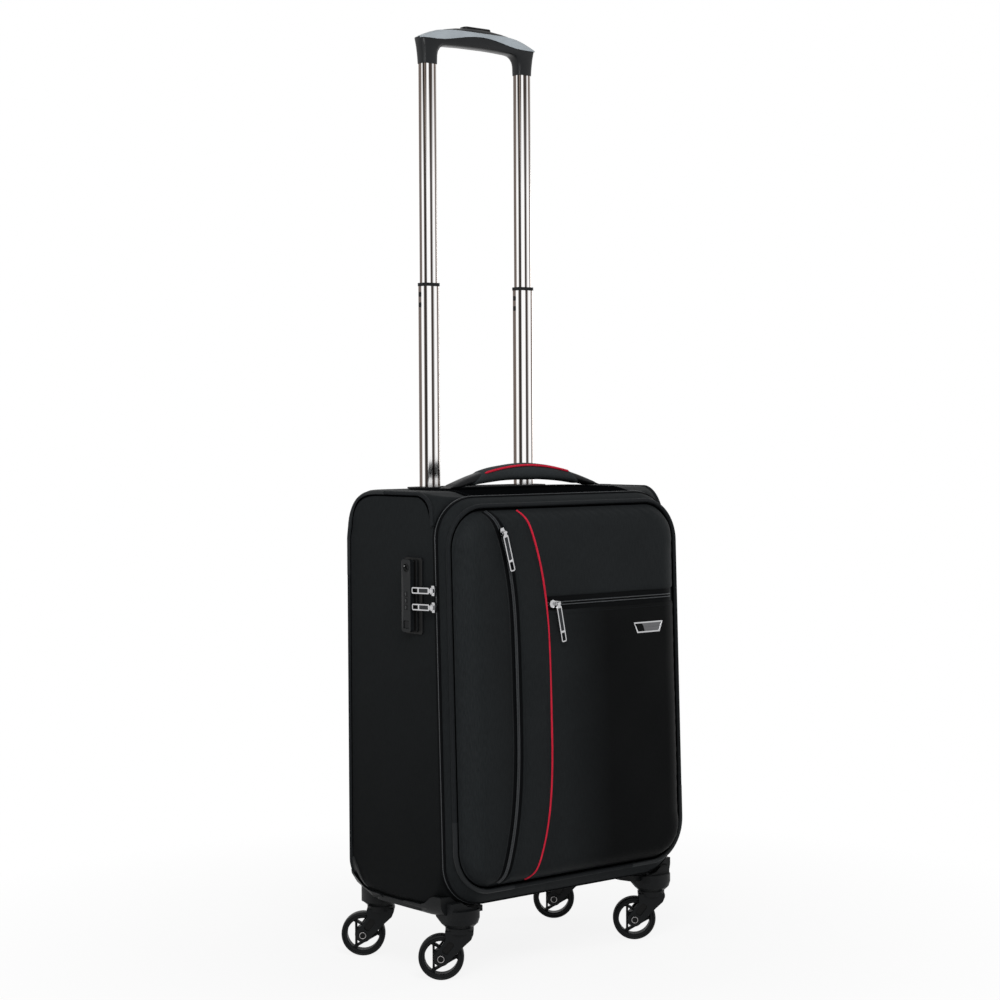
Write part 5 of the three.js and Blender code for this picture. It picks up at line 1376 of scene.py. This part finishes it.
class SUITCASE_OT_lock(SuitcaseStep, bpy.types.Operator):
    """Makes the lock's key cylinder, the numbers of its dials and the tubes' locking pins"""

    bl_idname = "suitcase.lock"
    bl_label = "Lock and pins"

    @staticmethod
    def numeral(text):
        """The outline of one plain number as flat points and triangles, three millimetres tall."""
        curve = bpy.data.curves.new("numeral", "FONT")
        curve.body = text
        curve.size = 4.1
        curve.offset = 0.09
        curve.align_x, curve.align_y = "CENTER", "CENTER"
        curve.extrude = 0.03
        shown = bpy.data.objects.new("numeral", curve)
        mesh = bpy.data.meshes.new_from_object(shown)
        points = np.empty(3 * len(mesh.vertices))
        mesh.vertices.foreach_get("co", points)
        mesh.calc_loop_triangles()
        faces = np.empty(3 * len(mesh.loop_triangles), dtype=int)
        mesh.loop_triangles.foreach_get("vertices", faces)
        bpy.data.objects.remove(shown)
        bpy.data.meshes.remove(mesh)
        bpy.data.curves.remove(curve)
        return points.reshape(-1, 3), faces.reshape(-1, 3)

    def execute(self, context):
        numerals = [self.numeral(str(number)) for number in range(10)]
        for dial in range(3):
            middle = np.add(DIAL_MIDDLE, (0, 0, (dial - 1) * DIAL_PITCH))
            parts = []
            for number, (points, faces) in enumerate(numerals):
                angle = math.pi + number * math.pi / 5 + 0.8 * points[:, 0] / DIAL_RADIUS
                reach = DIAL_RADIUS + 0.02 + points[:, 2]
                wrapped = xyz(reach * np.cos(angle), reach * np.sin(angle), points[:, 1])
                parts.append((middle + wrapped, [faces]))
            piece(f"dial_numbers_{dial + 1}", *joined(parts), "numeral", f"dial_{dial + 1}", "grey_plastic")
        rings = []
        for radius in (4.6, 2.6):
            points, faces = lathe(round_ring(radius, 0.35, 0.0), 40)
            rings.append((points[:, (1, 0, 2)] + KEY_MIDDLE, faces))
        piece("key_rings", *joined(rings), "coated", "case", "black_plastic")
        dot = pebble(np.add(KEY_MIDDLE, (0, 2.6, 1.6)), (0.35, 0.8, 0.8), 1.0)
        piece("key_dot", *dot, "dot", "case", "grey_plastic")
        for name, x in (("left", -81.42), ("right", 59.58)):
            pins = [pebble((x, 72.2, z), (0.25, 2.6, 2.8), 0.3) for z in (752.8, 740.8)]
            piece(f"locking_pins_{name}", *joined(pins), "pin", "middle_stage", "black_plastic")
        return {"FINISHED"}


def camera_turn(azimuth, elevation, roll):
    """The camera's axes: right, up and back, turned round the view by the roll."""
    a, e, r = (math.radians(value) for value in (azimuth, elevation, roll))
    back = Vector((math.sin(a) * math.cos(e), -math.cos(a) * math.cos(e), math.sin(e)))
    right = Vector((math.cos(a), math.sin(a), 0))
    up = back.cross(right)
    turned = right * math.cos(r) + up * math.sin(r)
    risen = up * math.cos(r) - right * math.sin(r)
    return Matrix((turned, risen, back)).transposed().to_4x4()


def area_lamp(name, place, target, size, power):
    """A soft rectangular lamp that looks at a point."""
    data = bpy.data.lights.new(name, "AREA")
    data.shape = "RECTANGLE"
    data.size, data.size_y = size
    data.energy = power
    lamp = bpy.data.objects.new(name, data)
    lamp.location = place
    lamp.rotation_euler = (Vector(target) - Vector(place)).to_track_quat("-Z", "Y").to_euler()
    lamp.visible_camera = False
    bpy.context.scene.collection.objects.link(lamp)


class SUITCASE_OT_stage(SuitcaseStep, bpy.types.Operator):
    """Makes the camera, the lamps and the pale floor"""

    bl_idname = "suitcase.stage"
    bl_label = "Stage"

    def execute(self, context):
        scene = context.scene
        settings = scene.suitcase_stage
        scene.view_settings.view_transform = "Standard"
        data = bpy.data.cameras.new("camera")
        data.sensor_width = 36
        data.lens = settings.lens
        camera = bpy.data.objects.new("camera", data)
        camera.matrix_world = (
            Matrix.Translation((-1.58646, -1.90219, 0.60339)) @ camera_turn(-39.424, 2.002, -0.299))
        scene.collection.objects.link(camera)
        scene.camera = camera
        area_lamp("key", (-0.75, -1.0, 1.35), (-0.05, 0, 0.42), (0.8, 0.6), settings.key)
        area_lamp("fill", (-2.4, -0.6, 0.9), (0, 0, 0.5), (1.6, 1.6), settings.fill)
        area_lamp("rim", (1.5, -0.5, 0.6), (0.15, -0.08, 0.3), (0.5, 0.9), settings.rim)
        self.light_world(scene, settings)
        self.lay_floor(scene, settings)
        return {"FINISHED"}

    @staticmethod
    def light_world(scene, settings):
        """White to the camera and in reflections, and a softer light on everything else."""
        world = bpy.data.worlds.new("studio")
        world.use_nodes = True
        nodes = Nodes(world.node_tree)
        background = nodes.tree.nodes["Background"].inputs
        background["Color"].default_value = (1, 1, 1, 1)
        nodes.link(nodes.span(nodes.seen(), 0.0, 1.0, settings.sky, 1.0), background["Strength"])
        scene.world = world

    @staticmethod
    def lay_floor(scene, settings):
        """A wide flat floor: lit and shadowed near the case, plain white to the eye further off."""
        reach = 30.0
        mesh = bpy.data.meshes.new("floor")
        corners = [(-reach, -reach, 0), (reach, -reach, 0), (reach, reach, 0), (-reach, reach, 0)]
        mesh.from_pydata(corners, [], [(0, 1, 2, 3)])
        floor = bpy.data.objects.new("floor", mesh)
        scene.collection.objects.link(floor)
        finish = Shader("pale_floor", tuple(settings.floor), 0.9, Specular_IOR_Level=0.0)
        distance = finish.node("ShaderNodeVectorMath", operation="LENGTH")
        finish.link(finish.place(), distance.inputs[0])
        far = finish.span(distance.outputs["Value"], 0.25, 0.8, 0.88, 1.0)
        white = finish.node("ShaderNodeEmission", Strength=1.0)
        mixed = finish.node("ShaderNodeMixShader")
        finish.link(finish.math("MULTIPLY", far, finish.seen()), mixed.inputs[0])
        finish.link(finish.surface.outputs[0], mixed.inputs[1])
        finish.link(white.outputs[0], mixed.inputs[2])
        finish.link(mixed.outputs[0], finish.tree.nodes["Material Output"].inputs["Surface"])
        mesh.materials.append(finish.material)


STEPS = (
    SUITCASE_OT_finishes,
    SUITCASE_OT_case,
    SUITCASE_OT_piping,
    SUITCASE_OT_lid,
    SUITCASE_OT_pockets,
    SUITCASE_OT_zips,
    SUITCASE_OT_stitching,
    SUITCASE_OT_carry,
    SUITCASE_OT_casters,
    SUITCASE_OT_lock,
    SUITCASE_OT_stage,
)


class SUITCASE_PT_panel(bpy.types.Panel):
    """Steps, colours and light of the suitcase"""

    bl_label = "Suitcase"
    bl_idname = "SUITCASE_PT_panel"
    bl_space_type = "VIEW_3D"
    bl_region_type = "UI"
    bl_category = "Suitcase"

    def draw(self, context):
        layout = self.layout
        for group in (context.scene.suitcase_colours, context.scene.suitcase_stage):
            box = layout.box()
            for name in group.__annotations__:
                box.prop(group, name)
        for step in STEPS:
            layout.operator(step.bl_idname)


CLASSES = (SuitcaseColours, SuitcaseStage, *STEPS, SUITCASE_PT_panel)


def register():
    """Makes the classes and the settings known."""
    for cls in CLASSES:
        bpy.utils.register_class(cls)
    bpy.types.Scene.suitcase_colours = bpy.props.PointerProperty(type=SuitcaseColours)
    bpy.types.Scene.suitcase_stage = bpy.props.PointerProperty(type=SuitcaseStage)


def unregister():
    """Takes the settings and the classes away again."""
    del bpy.types.Scene.suitcase_stage
    del bpy.types.Scene.suitcase_colours
    for cls in reversed(CLASSES):
        bpy.utils.unregister_class(cls)


def main():
    """Registers the classes and runs the steps in order."""
    register()
    for step in STEPS:
        section, name = step.bl_idname.split(".")
        getattr(getattr(bpy.ops, section), name)()
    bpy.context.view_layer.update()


if __name__ == "__main__":
    main()
